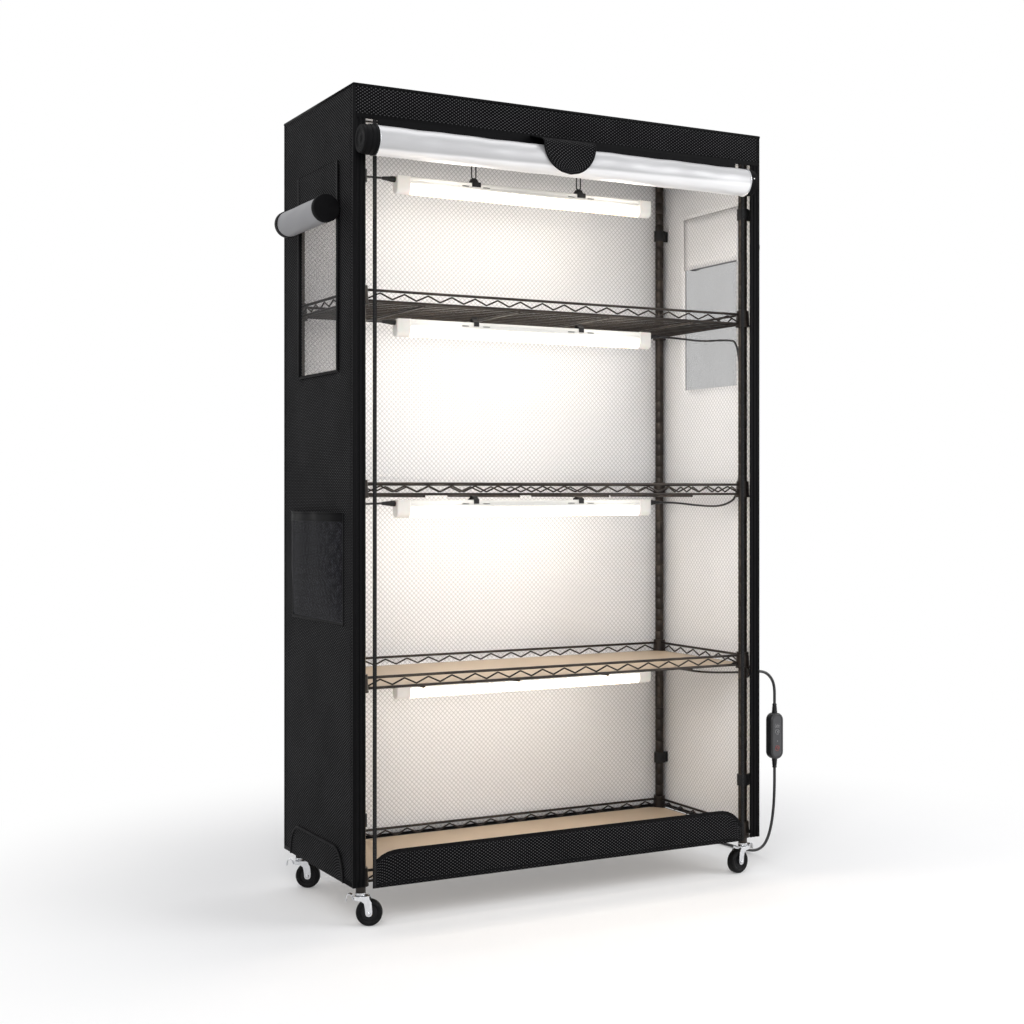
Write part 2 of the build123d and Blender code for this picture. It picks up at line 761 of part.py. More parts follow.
def hanger_solid():
    """A wire link on the shelf's middle wire and a block that grips the top lamp, from the wire's axis."""
    eye_inner = surface_wire / 2 + 2 * hook_slack
    eye_outer = eye_inner + hook_wire
    half = hook_wire / 2
    ring = RegularPolygon(eye_outer, tie_facets, major_radius=False)
    ring -= RegularPolygon(eye_inner, tie_facets, major_radius=False)
    eye = along_x(ring, -half, half)
    block_top = hanger_block_height - top_lamp_drop
    loop_top = block_top + loop_height
    shank = block(-half, half, -half, half, loop_top - half, -eye_outer + half)
    loop_plane = Plane(origin=(0, 0, (block_top + loop_top - half) / 2), x_dir=(0, 0, 1), z_dir=(0, -1, 0))
    loop_face = chamfer(Rectangle(loop_height, loop_width).vertices(), loop_corner)
    loop_space = Rectangle(loop_height - 2 * hook_wire, loop_width - 2 * hook_wire)
    loop_face -= chamfer(loop_space.vertices(), loop_corner / 2)
    link = extrude(loop_plane * loop_face, amount=half, both=True)
    wide = hanger_block_width / 2
    narrow = wide - clip_wall
    neck = narrow - clip_wall
    body = Polyline((-wide, -top_lamp_drop), (wide, -top_lamp_drop), (narrow, block_top - clip_wall),
                    (neck, block_top), (-neck, block_top), (-narrow, block_top - clip_wall), close=True)
    body = extrude(Plane.XZ * make_face(body), amount=clip_out / 2, both=True)
    saddle = block(-wide, wide, -clip_out, clip_out, -top_lamp_drop - clip_grip, clip_wall - top_lamp_drop)
    saddle -= block(-wide, wide, -lamp_half, lamp_half, -top_lamp_drop - clip_grip, -top_lamp_drop)
    return eye + shank + link + body + saddle


hanger = hanger_solid()
save("top_lamp_hangers", *[Pos(x, middle, top_level) * hanger for x in clip_places])

# Leads: each lamp feeds the next, down one side and then the other, to the grommet
plug = prism(plug_diameter, plug_facets, plug_length / 3)
plug += Pos(0, 0, plug_length / 3) * tapered_prism(plug_diameter, plug_tip_diameter, plug_facets,
                                                   plug_length * 2 / 3)
lane_y = front + lead_lane_front
entry_y = front + lead_entry_front
lane_x = right - lead_lane_inset


def lamp_plug(side_sign, lamp_top):
    """A plug in a lamp's end, pointing away from the lamp."""
    end_x = lamp_x1 if side_sign > 0 else lamp_x0
    return Pos(end_x, middle, lamp_top - lamp_axis_drop) * Rot(0, 90 * side_sign, 0) * plug


def lead_in(side_sign, z):
    """A lead's route from a lamp's plug to the wall and forward to its lane, at one level."""
    start = (lamp_x1 if side_sign > 0 else lamp_x0) + side_sign * plug_length
    wall = side_sign * lane_x
    bend = lead_turn_radius
    dip = lead_top_dip
    return [
        (start, middle, z),
        (start + side_sign * 2 * bend, middle, z),
        (wall - side_sign * bend, entry_y, z - dip),
        (wall, lane_y + 3 * bend, z - dip),
    ]


def lead_down(side_sign, z_from, z_to):
    """The vertical part of a lead's route, beside the front post."""
    wall = side_sign * lane_x
    bend = lead_turn_radius
    return [(wall, lane_y, z_from - lead_top_dip - bend / 2), (wall, lane_y, z_to + bend)]


def lead_tube(points):
    """A lead along its route, and its length."""
    radii = []
    for radius in bend_radii(points):
        radii.append(min(radius, 3 * lead_turn_radius))
    return cord_tube(points, lead_diameter, lead_facets, radii)


axis_levels = [z - lamp_axis_drop for z in lamp_top_levels]
first = lead_in(-1, axis_levels[0])
split = first[-2:]
join = tuple((a + b) / 2 for a, b in zip(*split))
top_lead, top_lead_length = lead_tube(first[:-1] + [join])
save("link_lead_top", top_lead)
routes = [
    [join, first[-1]] + lead_down(-1, axis_levels[0], axis_levels[1])
    + list(reversed(lead_in(-1, axis_levels[1]))),
    lead_in(1, axis_levels[1]) + lead_down(1, axis_levels[1], axis_levels[2])
    + list(reversed(lead_in(1, axis_levels[2]))),
    lead_in(-1, axis_levels[2]) + lead_down(-1, axis_levels[2], axis_levels[3])
    + list(reversed(lead_in(-1, axis_levels[3]))),
]
leads = []
lead_lengths = [top_lead_length]
for route in routes:
    tube, length = lead_tube(route)
    leads.append(tube)
    lead_lengths.append(length)
grommet_in = inner_right - grommet_flange
bend = lead_turn_radius
feed = [
    (lamp_x1 + plug_length, middle, grommet_z),
    (lamp_x1 + plug_length + 2 * bend, middle, grommet_z),
    (lane_x - 2 * bend, entry_y - bend, grommet_z - lead_top_dip),
    (lane_x - bend, lane_y, grommet_z),
    (grommet_in, lane_y, grommet_z),
]
tube, length = lead_tube(feed)
leads.append(tube)
lead_lengths.append(length)
save("lamp_leads", *leads)
save("top_lamp_plug", lamp_plug(-1, lamp_top_levels[0]))
save(
    "lead_plugs",
    lamp_plug(-1, lamp_top_levels[1]), lamp_plug(1, lamp_top_levels[1]),
    lamp_plug(1, lamp_top_levels[2]), lamp_plug(-1, lamp_top_levels[2]),
    lamp_plug(-1, lamp_top_levels[3]), lamp_plug(1, lamp_top_levels[3]),
)
print("lead lengths", [round(x) for x in lead_lengths])

# Grommet in the right wall: flanges on both faces and a short tapered sleeve
relief_end = cover_skin + grommet_flange + grommet_relief_length
flange = prism(grommet_flange_diameter, relief_facets, grommet_flange)
grommet = prism(grommet_body_diameter, relief_facets, cover_skin) + Pos(0, 0, -grommet_flange) * flange
grommet += Pos(0, 0, cover_skin) * flange
grommet += Pos(0, 0, cover_skin + grommet_flange) * tapered_prism(
    grommet_body_diameter, grommet_tip_diameter, relief_facets, grommet_relief_length)
save("cable_grommet", Pos(inner_right, grommet_y, grommet_z) * Rot(0, 90, 0) * grommet)
cord_exit = (inner_right + relief_end, grommet_y, grommet_z)

# Mains cord, first stretch: out of the grommet and down to the inline controller
cord_radius = cord_diameter / 2
floor_line = cord_radius + running_gap
upper_offsets = [(0, 0, 0), (26.0, 0, 0), (46.8, 0, -12.0), (58.8, 0, -32.8), (58.8, 0, -72.8)]
upper_route = [tuple(a + b for a, b in zip(cord_exit, step)) for step in upper_offsets]
upper_cord, upper_length = cord_tube(upper_route, cord_diameter, cord_facets, bend_radii(upper_route))
save("mains_cord_upper", upper_cord)

# Inline controller: a pill-shaped case hanging in the cord, its face to the front, and two boots
controller_x, controller_y, relief_top = upper_route[-1]
case_top = relief_top - relief_length
case_bottom = case_top - controller_length
case_front = controller_y - controller_depth / 2
case_plane = Plane(origin=(controller_x, controller_y, (case_top + case_bottom) / 2),
                   x_dir=(0, 0, 1), z_dir=(0, -1, 0))
case = extrude(case_plane * pill(controller_length, controller_width, pill_facets),
               amount=controller_depth / 2, both=True)
rims = case.faces().sort_by(Axis.Y)[0].edges() + case.faces().sort_by(Axis.Y)[-1].edges()
case = chamfer(rims, controller_rim)
relief_sunk = tapered_prism(relief_diameter, relief_tip_diameter, relief_facets, relief_length)
relief_sunk += Pos(0, 0, -relief_diameter) * prism(relief_diameter, relief_facets, relief_diameter)
boots = [
    Pos(controller_x, controller_y, case_top) * relief_sunk - case,
    Pos(controller_x, controller_y, case_bottom) * Rot(180, 0, 0) * relief_sunk - case,
]
face_floor = case_front + face_recess
face_plane = Plane(origin=(controller_x, face_floor, case_plane.origin.Z), x_dir=(0, 0, 1), z_dir=(0, -1, 0))
case -= extrude(face_plane * pill(face_length, face_width, pill_facets), amount=face_recess + cut_overrun)
buttons = []
hole_depth = button_depth + button_travel + running_gap
for share in (timer_button_share, power_button_share):
    place = Pos(controller_x, face_floor, case_top - controller_length * share) * Rot(-90, 0, 0)
    hole = prism(button_diameter + 2 * button_clearance, pill_facets, hole_depth)
    case -= place * hole
    button = prism(button_diameter, pill_facets, button_depth + button_proud)
    buttons.append(place * Pos(0, 0, -button_proud) * button)
save("controller_case", case)
save("controller_boots", *boots)
save("timer_button", buttons[0])
save("power_button", buttons[1])

# Mains cord, second stretch: from the controller down to the floor and round behind the cabinet
coil_pitch = cord_diameter + coil_gap
coil_y = back + coil_behind_cover
coil_outer_radius = coil_inner_radius + coil_half_turns * coil_pitch / 2
coil_entry = (coil_center_x + coil_outer_radius, coil_y - cord_diameter, floor_line)
lower_route = [
    (controller_x, controller_y, case_bottom - relief_length),
    (controller_x, controller_y, 168.0),
    (539.4, -108.0, 122.0),
    (543.0, -94.0, 76.0),
    (549.0, -68.0, 36.0),
    (555.0, -30.0, 12.0),
    (558.4, 14.0, floor_line),
    (557.0, 62.0, floor_line),
    (552.0, 110.0, floor_line),
    (544.0, 154.0, floor_line),
    (535.0, 194.0, floor_line),
    (coil_entry[0], 231.0, floor_line),
    coil_entry,
]
lower_radii = bend_radii(lower_route)
lower_cord, lower_length = cord_tube(lower_route, cord_diameter, cord_facets, lower_radii)
save("mains_cord_lower", lower_cord)
print("cord bend radii", [round(r) for r in bend_radii(upper_route) + lower_radii])
for label, tube, length in (("upper", upper_cord, upper_length), ("lower", lower_cord, lower_length)):
    print(label, "cord volume over section times length",
          round(tube.volume / (math.pi * cord_radius ** 2 * length), 4))

# Put-away coil: spirals in on the floor, climbs a layer in the inmost half turn, and spirals out again


def climb_arcs(start, radius, rise):
    """Half a turn on the -Y side from left to right that climbs, as two tangent arcs."""
    x, y, z = start
    reach = math.sqrt(radius ** 2 + rise ** 2 / 4)
    crest = (x + radius, y - reach, z + rise / 2)
    end = (x + 2 * radius, y, z + rise)
    first_arc = TangentArc(start, crest, tangent=(0, -1, 0))
    return [first_arc, TangentArc(crest, end, tangent=first_arc % 1)]


def coil_section(here, side_sign):
    """The cord's cross-section where it passes the coil's middle line."""
    return tube_section(here, (0, side_sign, 0), cord_diameter, cord_facets)


def half_turn(here, radius, side_sign):
    """Half a flat turn: its line, and its solid, turned about the middle of the turn."""
    far = here - Vector(2 * radius * side_sign, 0, 0)
    knee = here + Vector(-radius * side_sign, radius * side_sign, 0)
    middle_axis = Axis((here + far) / 2, (0, 0, 1))
    return ThreePointArc(here, knee, far), revolve(coil_section(here, side_sign), middle_axis, 180)


def coil_end(here, length):
    """A straight end of the coil: its line and its solid."""
    return Line(here, here + Vector(0, length, 0)), extrude(coil_section(here, 1), amount=length, dir=(0, 1, 0))


coil_start = Vector(*coil_entry)
line, coil = coil_end(coil_start, cord_diameter)
coil_edges = [line]
turn_radii = [coil_outer_radius - i * coil_pitch / 2 for i in range(coil_half_turns)]
sides = [1 if i % 2 == 0 else -1 for i in range(coil_half_turns)]
for radius, side_sign in zip(turn_radii, sides):
    line, turn = half_turn(coil_edges[-1] @ 1, radius, side_sign)
    coil_edges.append(line)
    coil += turn
climb = climb_arcs(tuple(coil_edges[-1] @ 1), coil_inner_radius, coil_pitch)
coil += sweep(coil_section(climb[0] @ 0, -1), path=Wire([edge.edge() for edge in climb]))
coil_edges += climb
for radius, side_sign in zip(reversed(turn_radii[1:]), sides):
    line, turn = half_turn(coil_edges[-1] @ 1, radius, side_sign)
    coil_edges.append(line)
    coil += turn
line, end = coil_end(coil_edges[-1] @ 1, coil_tail)
coil_edges.append(line)
coil += end
coil_path = Wire([edge.edge() for edge in coil_edges])
print("coil solids", len(coil.solids()), "valid", coil.is_valid, "volume share",
      round(coil.volume / (math.pi * cord_radius ** 2 * coil_path.length), 4))
save("mains_coil", coil)


def least_gap(path, diameter, skip_length):
    """The least gap between two parts of a coil's line that are not neighbours along it."""
    count = int(path.length / diameter)
    step = path.length / count
    points = [path.position_at(i / count) for i in range(count + 1)]
    skip = math.ceil(skip_length / step)
    gaps = []
    for i, point in enumerate(points):
        for other in points[i + skip:]:
            gaps.append((point - other).length)
    return min(gaps) - diameter


coil_gap_measured = least_gap(coil_path, cord_diameter, coil_inner_radius * 2)
print("coil length", round(coil_path.length), "least gap to itself", round(coil_gap_measured, 2))

# Mains plug: moulded body, tapered sleeve and two flat blades, lying on the floor behind the coil
plug_start = coil_edges[-1] @ 1
plug_axis_z = plug_start.Z
plug_body_y = plug_start.Y + plug_relief_length
body_height = 2 * (plug_axis_z - running_gap)
plug_body = Pos(plug_start.X, plug_body_y + plug_body_length / 2, plug_axis_z)
plug_body *= Box(plug_body_width, plug_body_length, body_height)
plug_body = chamfer(plug_body.edges().filter_by(Axis.Y), plug_body_chamfer)
sleeve = tapered_prism(grommet_tip_diameter, plug_relief_diameter, relief_facets, plug_relief_length)
plug_body += Pos(plug_start) * Rot(-90, 0, 0) * sleeve
blades = []
for side_sign in (-1, 1):
    x = plug_start.X + side_sign * blade_spacing / 2
    y = plug_body_y + plug_body_length
    blades.append(block(x - blade_thickness / 2, x + blade_thickness / 2, y, y + blade_length,
                        plug_axis_z - blade_width / 2, plug_axis_z + blade_width / 2))
save("mains_plug", plug_body, *blades)
whole_cord = upper_length + lower_length + coil_path.length + controller_length + 2 * relief_length
print("mains cord", round(whole_cord), "from the grommet to the plug")
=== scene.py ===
import bmesh
import bpy
import json
import math
from mathutils import Matrix, Vector

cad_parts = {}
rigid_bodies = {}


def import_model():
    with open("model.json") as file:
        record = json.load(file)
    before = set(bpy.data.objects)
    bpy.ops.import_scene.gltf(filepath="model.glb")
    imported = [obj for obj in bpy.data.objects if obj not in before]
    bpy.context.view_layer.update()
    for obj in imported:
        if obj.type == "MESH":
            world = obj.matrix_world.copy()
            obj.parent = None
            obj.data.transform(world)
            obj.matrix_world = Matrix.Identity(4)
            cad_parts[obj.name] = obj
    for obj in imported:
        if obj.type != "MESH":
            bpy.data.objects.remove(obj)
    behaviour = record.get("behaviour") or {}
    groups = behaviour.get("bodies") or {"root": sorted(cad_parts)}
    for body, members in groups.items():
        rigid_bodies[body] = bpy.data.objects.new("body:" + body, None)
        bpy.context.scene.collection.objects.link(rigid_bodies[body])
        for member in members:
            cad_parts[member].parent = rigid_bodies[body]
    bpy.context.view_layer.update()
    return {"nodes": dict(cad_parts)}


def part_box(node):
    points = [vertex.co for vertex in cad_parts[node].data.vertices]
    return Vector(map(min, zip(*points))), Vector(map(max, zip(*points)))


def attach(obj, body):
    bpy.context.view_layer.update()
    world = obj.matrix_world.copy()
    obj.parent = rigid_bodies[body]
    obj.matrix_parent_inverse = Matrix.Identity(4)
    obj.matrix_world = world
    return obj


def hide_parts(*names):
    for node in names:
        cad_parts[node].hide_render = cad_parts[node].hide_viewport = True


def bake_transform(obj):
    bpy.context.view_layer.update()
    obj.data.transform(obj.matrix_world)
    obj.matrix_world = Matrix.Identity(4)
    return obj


for spare in list(bpy.data.objects):
    bpy.data.objects.remove(spare)
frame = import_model()

# ---------------------------------------------------------------------------------------------
# Posts: four steel tubes that stand on the castor stems. They are rolled with a shallow groove
# every inch, where a shelf's sleeve locks, and powder coated dark bronze.

inch = 0.0254
post_x, post_front, post_back = 0.440, -0.1298, 0.1902
post_places = [(x, y) for x in (-post_x, post_x) for y in (post_front, post_back)]
post_radius = 0.0095
post_low, post_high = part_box("posts")


class Thread:
    """A value in a node tree. Arithmetic on it adds Math nodes, and node() adds any other kind."""

    def __init__(self, tree, socket=None):
        self.tree, self.socket = tree, socket

    def node(self, kind, sockets=None, out=0, **settings):
        made = self.tree.nodes.new(kind)
        for name, value in settings.items():
            setattr(made, name, value)
        for name, value in (sockets or {}).items():
            if isinstance(value, Thread):
                self.tree.links.new(value.socket, made.inputs[name])
            else:
                made.inputs[name].default_value = value
        return Thread(self.tree, made.outputs[out])

    def out(self, name):
        return Thread(self.tree, self.socket.node.outputs[name])

    def maths(self, operation, *others):
        return self.node("ShaderNodeMath", dict(enumerate((self, *others))), operation=operation)

    def __add__(self, other):
        return self.maths("ADD", other)

    def __mul__(self, other):
        return self.maths("MULTIPLY", other)

    def __sub__(self, other):
        return self.maths("SUBTRACT", other)

    def __rsub__(self, other):
        return self * -1 + other

    def __truediv__(self, other):
        return self.maths("DIVIDE", other)

    def between(self, low, high):
        """0 below low, 1 above high, and smooth between them."""
        return self.node("ShaderNodeMapRange", {"Value": self, "From Min": low, "From Max": high},
                         interpolation_type="SMOOTHSTEP")

    def wave(self, pitch):
        """A sine of this pitch along the value."""
        return (self * (2 * math.pi / pitch)).maths("SINE")

    def noise(self, scale, detail=2.0):
        return self.node("ShaderNodeTexNoise", {"Vector": self, "Scale": scale, "Detail": detail})

    def tint(self, low, high):
        """A colour from low to high, by this value."""
        return self.node("ShaderNodeMix", {0: self, 6: (*low, 1), 7: (*high, 1)}, out=2, data_type="RGBA")

    def into(self, socket):
        self.tree.links.new(self.socket, self.tree.nodes["Principled BSDF"].inputs[socket])

    def dress(self, tints=None, rough=None, relief=None):
        """Drive a finish's colour, its roughness and its relief (height, strength) by this value."""
        if tints:
            self.tint(*tints).into("Base Color")
        if rough:
            (self * rough[0] + rough[1]).into("Roughness")
        if relief:
            bump = {"Height": self, "Distance": relief[0], "Strength": relief[1]}
            self.node("ShaderNodeBump", bump).into("Normal")


def new_finish(name, specular=0.5, **sockets):
    """A material with its fixed sockets set, and a thread to start its pattern from."""
    made = bpy.data.materials.new(name)
    made.use_nodes = True
    for socket, value in {"Specular_IOR_Level": specular, **sockets}.items():
        made.node_tree.nodes["Principled BSDF"].inputs[socket.replace("_", " ")].default_value = value
    return made, Thread(made.node_tree)


def on_piece(start):
    """Where a point is in the cabinet's own frame."""
    return start.node("ShaderNodeTexCoord", out="Object")


def on_cloth(start):
    """How far a point is along and across the cloth, in metres."""
    split = start.node("ShaderNodeSeparateXYZ", {0: start.node("ShaderNodeUVMap", uv_map="cloth")})
    return split, split.out("Y")


def grained(name, scale, tints, rough=None, relief=None, detail=2.0, fine=None, spread=None, **sockets):
    """A finish with one noise on it, and a finer one for its roughness and relief where it has one."""
    made, start = new_finish(name, **sockets)
    place = on_piece(start)
    cloud = place.noise(scale, detail)
    if spread:
        cloud = cloud.between(*spread)
    cloud.dress(tints)
    (place.noise(fine) if fine else cloud).dress(None, rough, relief)
    return made


bronze_coat, start = new_finish("bronze_coat", Metallic=0.55, Coat_Roughness=0.25)
place = on_piece(start)
speckle, wear = place.noise(900.0), place.noise(35.0, 4.0).between(0.35, 0.75)
groove = place.node("ShaderNodeSeparateXYZ", {0: place}, out="Z").wave(inch).between(0.93, 1.0)
wear.dress(((0.016, 0.012, 0.010), (0.040, 0.031, 0.024)))
(speckle * 0.18 + wear * 0.1 + 0.26).into("Roughness")
(speckle * 0.15 - groove).dress(relief=(0.0007, 1.0))
moulded_black = grained("moulded_black", 60.0, ((0.008, 0.008, 0.009), (0.018, 0.018, 0.019)), (0.2, 0.38),
                        (0.0001, 0.5), fine=1400.0, specular=0.3)


def added(name, data):
    """An object in the scene that holds this mesh, curve, light or camera."""
    made = bpy.data.objects.new(name, data)
    bpy.context.scene.collection.objects.link(made)
    return made


def crisp(piece, width=0.0, angle=35.0):
    """Round a piece's hard edges a little, and keep its flats flat."""
    if width:
        edge = piece.modifiers.new("edge", "BEVEL")
        edge.width, edge.segments, edge.limit_method = width, 2, "ANGLE"
        edge.angle_limit = math.radians(angle)
    piece.data.set_sharp_from_angle(angle=math.radians(angle))


def coat(finish, name):
    """Give a CAD piece that keeps its own shape a finish."""
    materials = frame["nodes"][name].data.materials
    materials.clear()
    materials.append(finish)


def arc(radius, count, first=0.0, last=360.0, high=None, middle=(0.0, 0.0)):
    """Pairs on a round or oval arc, in degrees. A full turn doesn't repeat its first point."""
    step = (last - first) / (count if last - first == 360.0 else count - 1)
    turns = [math.radians(first + step * i) for i in range(count)]
    return [(middle[0] + radius * math.cos(a), middle[1] + (high or radius) * math.sin(a)) for a in turns]


class Shape:
    """Points and faces that are gathered before they become one piece."""

    def __init__(self):
        self.points, self.faces, self.marks, self.uvs = [], [], [], []

    def face(self, corners, mark=0):
        self.faces.append(corners)
        self.marks.append(mark)

    def rings(self, rings, mark=0, ends=True, joined=False):
        """Skin over rings of points; the ends are closed with fans when asked."""
        first, count, along = len(self.points), len(rings[0]), 0.0
        for i, ring in enumerate(rings):
            if i:
                along += math.dist(ring[0], rings[i - 1][0])
            around = 0.0
            for j, point in enumerate(ring):
                if j:
                    around += math.dist(point, ring[j - 1])
                self.points.append(Vector(point))
                self.uvs.append((along, around))
        marks = mark if isinstance(mark, list) else [mark] * len(rings)
        for i in range(len(rings) if joined else len(rings) - 1):
            a, b = first + i * count, first + (i + 1) % len(rings) * count
            for j in range(count):
                k = (j + 1) % count
                self.face((a + j, a + k, b + k, b + j), marks[i])
        if ends and not joined:
            last = first + (len(rings) - 1) * count
            self.face(tuple(range(first + count - 1, first - 1, -1)), marks[0])
            self.face(tuple(range(last, last + count)), marks[-1])

    def hollow(self, rings):
        """Skin over rings that run out along a wall's outer side and back along its inner side."""
        first, count = len(self.points), len(rings[0])
        self.rings(rings, ends=False)
        for base in (first, first + (len(rings) - 1) * count):
            for j in range(count // 2 - 1):
                self.face((base + j, base + j + 1, base + count - 2 - j, base + count - 1 - j))

    def turned(self, profile, centre, axis=(0, 0, 1), count=24, mark=0):
        """A lathe turned form: profile gives (radius, height) along the axis."""
        axis, centre = Vector(axis).normalized(), Vector(centre)
        side = Vector((0, 0, 1)) if abs(axis.z) < 0.5 else axis.orthogonal().normalized()
        other = axis.cross(side)
        self.rings([[centre + axis * height + (side * c + other * s) * max(radius, 1e-5)
                     for c, s in arc(1.0, count)] for radius, height in profile], mark)

    def swept(self, path, outline, up, joined=False):
        """An outline of (up, across) offsets carried along a path, mitred at its corners."""
        path, rings, up = [Vector(p) for p in path], [], Vector(up)
        for i, here in enumerate(path):
            before = path[i - 1] if i or joined else None
            after = path[(i + 1) % len(path)] if i < len(path) - 1 or joined else None
            run_in = (here - before if before else after - here).normalized()
            run_out = (after - here).normalized() if after else run_in
            ahead = (run_in + run_out).normalized()
            rise = (up - ahead * ahead.dot(up)).normalized()
            across = ahead.cross(rise)
            flare, bend = 1 / max(0.45, ahead.dot(run_in)), run_out - run_in
            upwards = abs(bend.dot(rise)) > abs(bend.dot(across))
            rings.append([here + rise * a * (flare if upwards else 1) + across * b * (1 if upwards else flare)
                          for a, b in outline])
        self.rings(rings, joined=joined)

    def plate(self, outline, place, depth):
        """A flat plate: outline points (a, b) set in space by place, and a depth vector."""
        low = [place(a, b) for a, b in outline]
        self.rings([low, [p + Vector(depth) for p in low]])

    def piece(self, name, finishes, slot, node=None, body="cabinet", edge=None, angle=35.0, cloth=False,
              closed=True):
        """The finished piece. It rides on a body, may stand for a node, and edge rounds its edges."""
        mesh = bpy.data.meshes.new(name)
        mesh.from_pydata(self.points, [], self.faces)
        for one in finishes:
            mesh.materials.append(one)
        mesh.polygons.foreach_set("material_index", self.marks)
        if cloth:
            layer = mesh.uv_layers.new(name="cloth")
            for loop in mesh.loops:
                layer.data[loop.index].uv = self.uvs[loop.vertex_index]
        mesh.polygons.foreach_set("use_smooth", [True] * len(self.faces))
        mesh.update()
        if closed:
            outward = bmesh.new()
            outward.from_mesh(mesh)
            bmesh.ops.recalc_face_normals(outward, faces=outward.faces)
            outward.to_mesh(mesh)
            outward.free()
        made = added(name, mesh)
        if body:
            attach(made, body)
        if edge is not None:
            crisp(made, edge, angle)
        if node:
            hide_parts(node)
        return made

    def sewn(self, name, finishes, slot, node=None, **how):
        """A piece whose finish follows its cloth."""
        return self.piece(name, finishes, slot, node, cloth=True, **how)


profile = [(post_radius - 0.0006, post_low.z), (post_radius, post_low.z + 0.0006)]
level = post_low.z + 0.020
while level < post_high.z - 0.01:
    profile += [(post_radius, level - 0.0014), (post_radius - 0.0007, level), (post_radius, level + 0.0014)]
    level += inch
profile += [(post_radius, post_high.z - 0.0006), (post_radius - 0.0006, post_high.z)]
posts = Shape()
for x, y in post_places:
    posts.turned(profile, (x, y, 0), count=20)
posts.piece("posts_rolled", [bronze_coat], "coated_steel", "posts")
coat(moulded_black, "post_caps")

# ---------------------------------------------------------------------------------------------
# Castors: a zinc plated fork that swivels on a stem in the post's foot, a moulded wheel with a
# black tyre riveted through it, and a foot lever hooked over the fork's crown.

castors = {"front_left": (-post_x, post_front, -28.2), "front_right": (post_x, post_front, 191.8),
           "rear_left": (-post_x, post_back, -28.2), "rear_right": (post_x, post_back, 62.0)}
crown_level, wheel_radius, trail = 0.0534, 0.025, 0.016
tyre_edge = 0.0158

zinc_plate = grained("zinc_plate", 160.0, ((0.52, 0.53, 0.55), (0.80, 0.81, 0.83)), (0.22, 0.10),
                     (0.0002, 0.3), 3.0, Metallic=1.0)
tyre_rubber = grained("tyre_rubber", 220.0, ((0.0030, 0.0030, 0.0033), (0.012, 0.012, 0.012)), (0.3, 0.42),
                      (0.0002, 0.5), 4.0, spread=(0.45, 0.8), specular=0.12)
hub_grey = grained("hub_grey", 700.0, ((0.006, 0.006, 0.0065), (0.013, 0.013, 0.014)), (0.15, 0.35),
                   (0.0001, 0.4), specular=0.15)

stems = Shape()
for x, y, heading in castors.values():
    stems.turned([(0.0010, 0.0516), (0.0050, 0.0519), (0.0050, 0.0530), (0.0034, 0.0531),
                  (0.0034, 0.0562), (0.0085, 0.0562), (0.0098, 0.0570), (0.0100, 0.0584),
                  (0.0094, 0.0592), (0.0100, 0.0600), (0.0100, 0.0616), (0.0092, 0.0623),
                  (0.0074, 0.0624), (0.0074, 0.0840), (0.0060, 0.0843)], (x, y, 0), count=28)
stems.piece("castor_stems_turned", [zinc_plate], "plated_steel", "castor_stems", edge=0.0)

cheek = [(-0.0110, crown_level + 0.0024), (-0.0112, crown_level - 0.0010), (-0.0085, crown_level - 0.0048),
         (trail - 0.0140, crown_level - 0.0062), (trail - 0.0090, crown_level - 0.0100),
         (trail - 0.0070, wheel_radius + 0.0080), (trail - 0.0064, wheel_radius - 0.0010),
         (trail - 0.0046, wheel_radius - 0.0050), (trail, wheel_radius - 0.0065),
         (trail + 0.0046, wheel_radius - 0.0050), (trail + 0.0066, wheel_radius - 0.0008),
         (trail + 0.0068, wheel_radius + 0.0050), (trail + 0.0052, crown_level - 0.0080),
         (0.0172, crown_level - 0.0010), (0.0170, crown_level + 0.0024)]
crown = [(a * (0.0170 if a > 0 else 0.0110), b * 0.0120) for a, b in arc(1.0, 32)]
half = [(0.0031, 0.0088), (0.0062, 0.0088), (0.0070, 0.0082), (0.0074, 0.0060), (0.0150, 0.0056),
        (tyre_edge, 0.0072), (0.0172, 0.0078), (0.0184, 0.0082), (0.0212, 0.0088), (0.0232, 0.0083),
        (0.0245, 0.0066), (wheel_radius, 0.0036)]
wheel_profile = half + [(r, -h) for r, h in reversed(half)]
wheel_marks = [0 if min(a[0], b[0]) >= tyre_edge else 1 for a, b in zip(wheel_profile, wheel_profile[1:])]
lever_line = [(-0.0085, 0.0488), (-0.0131, 0.0490), (-0.0150, 0.0520), (-0.0158, 0.0556),
              (-0.0172, 0.0578), (-0.0196, 0.0588), (-0.0224, 0.0584), (-0.0246, 0.0566),
              (-0.0258, 0.0540), (-0.0266, 0.0500), (-0.0268, 0.0458)]
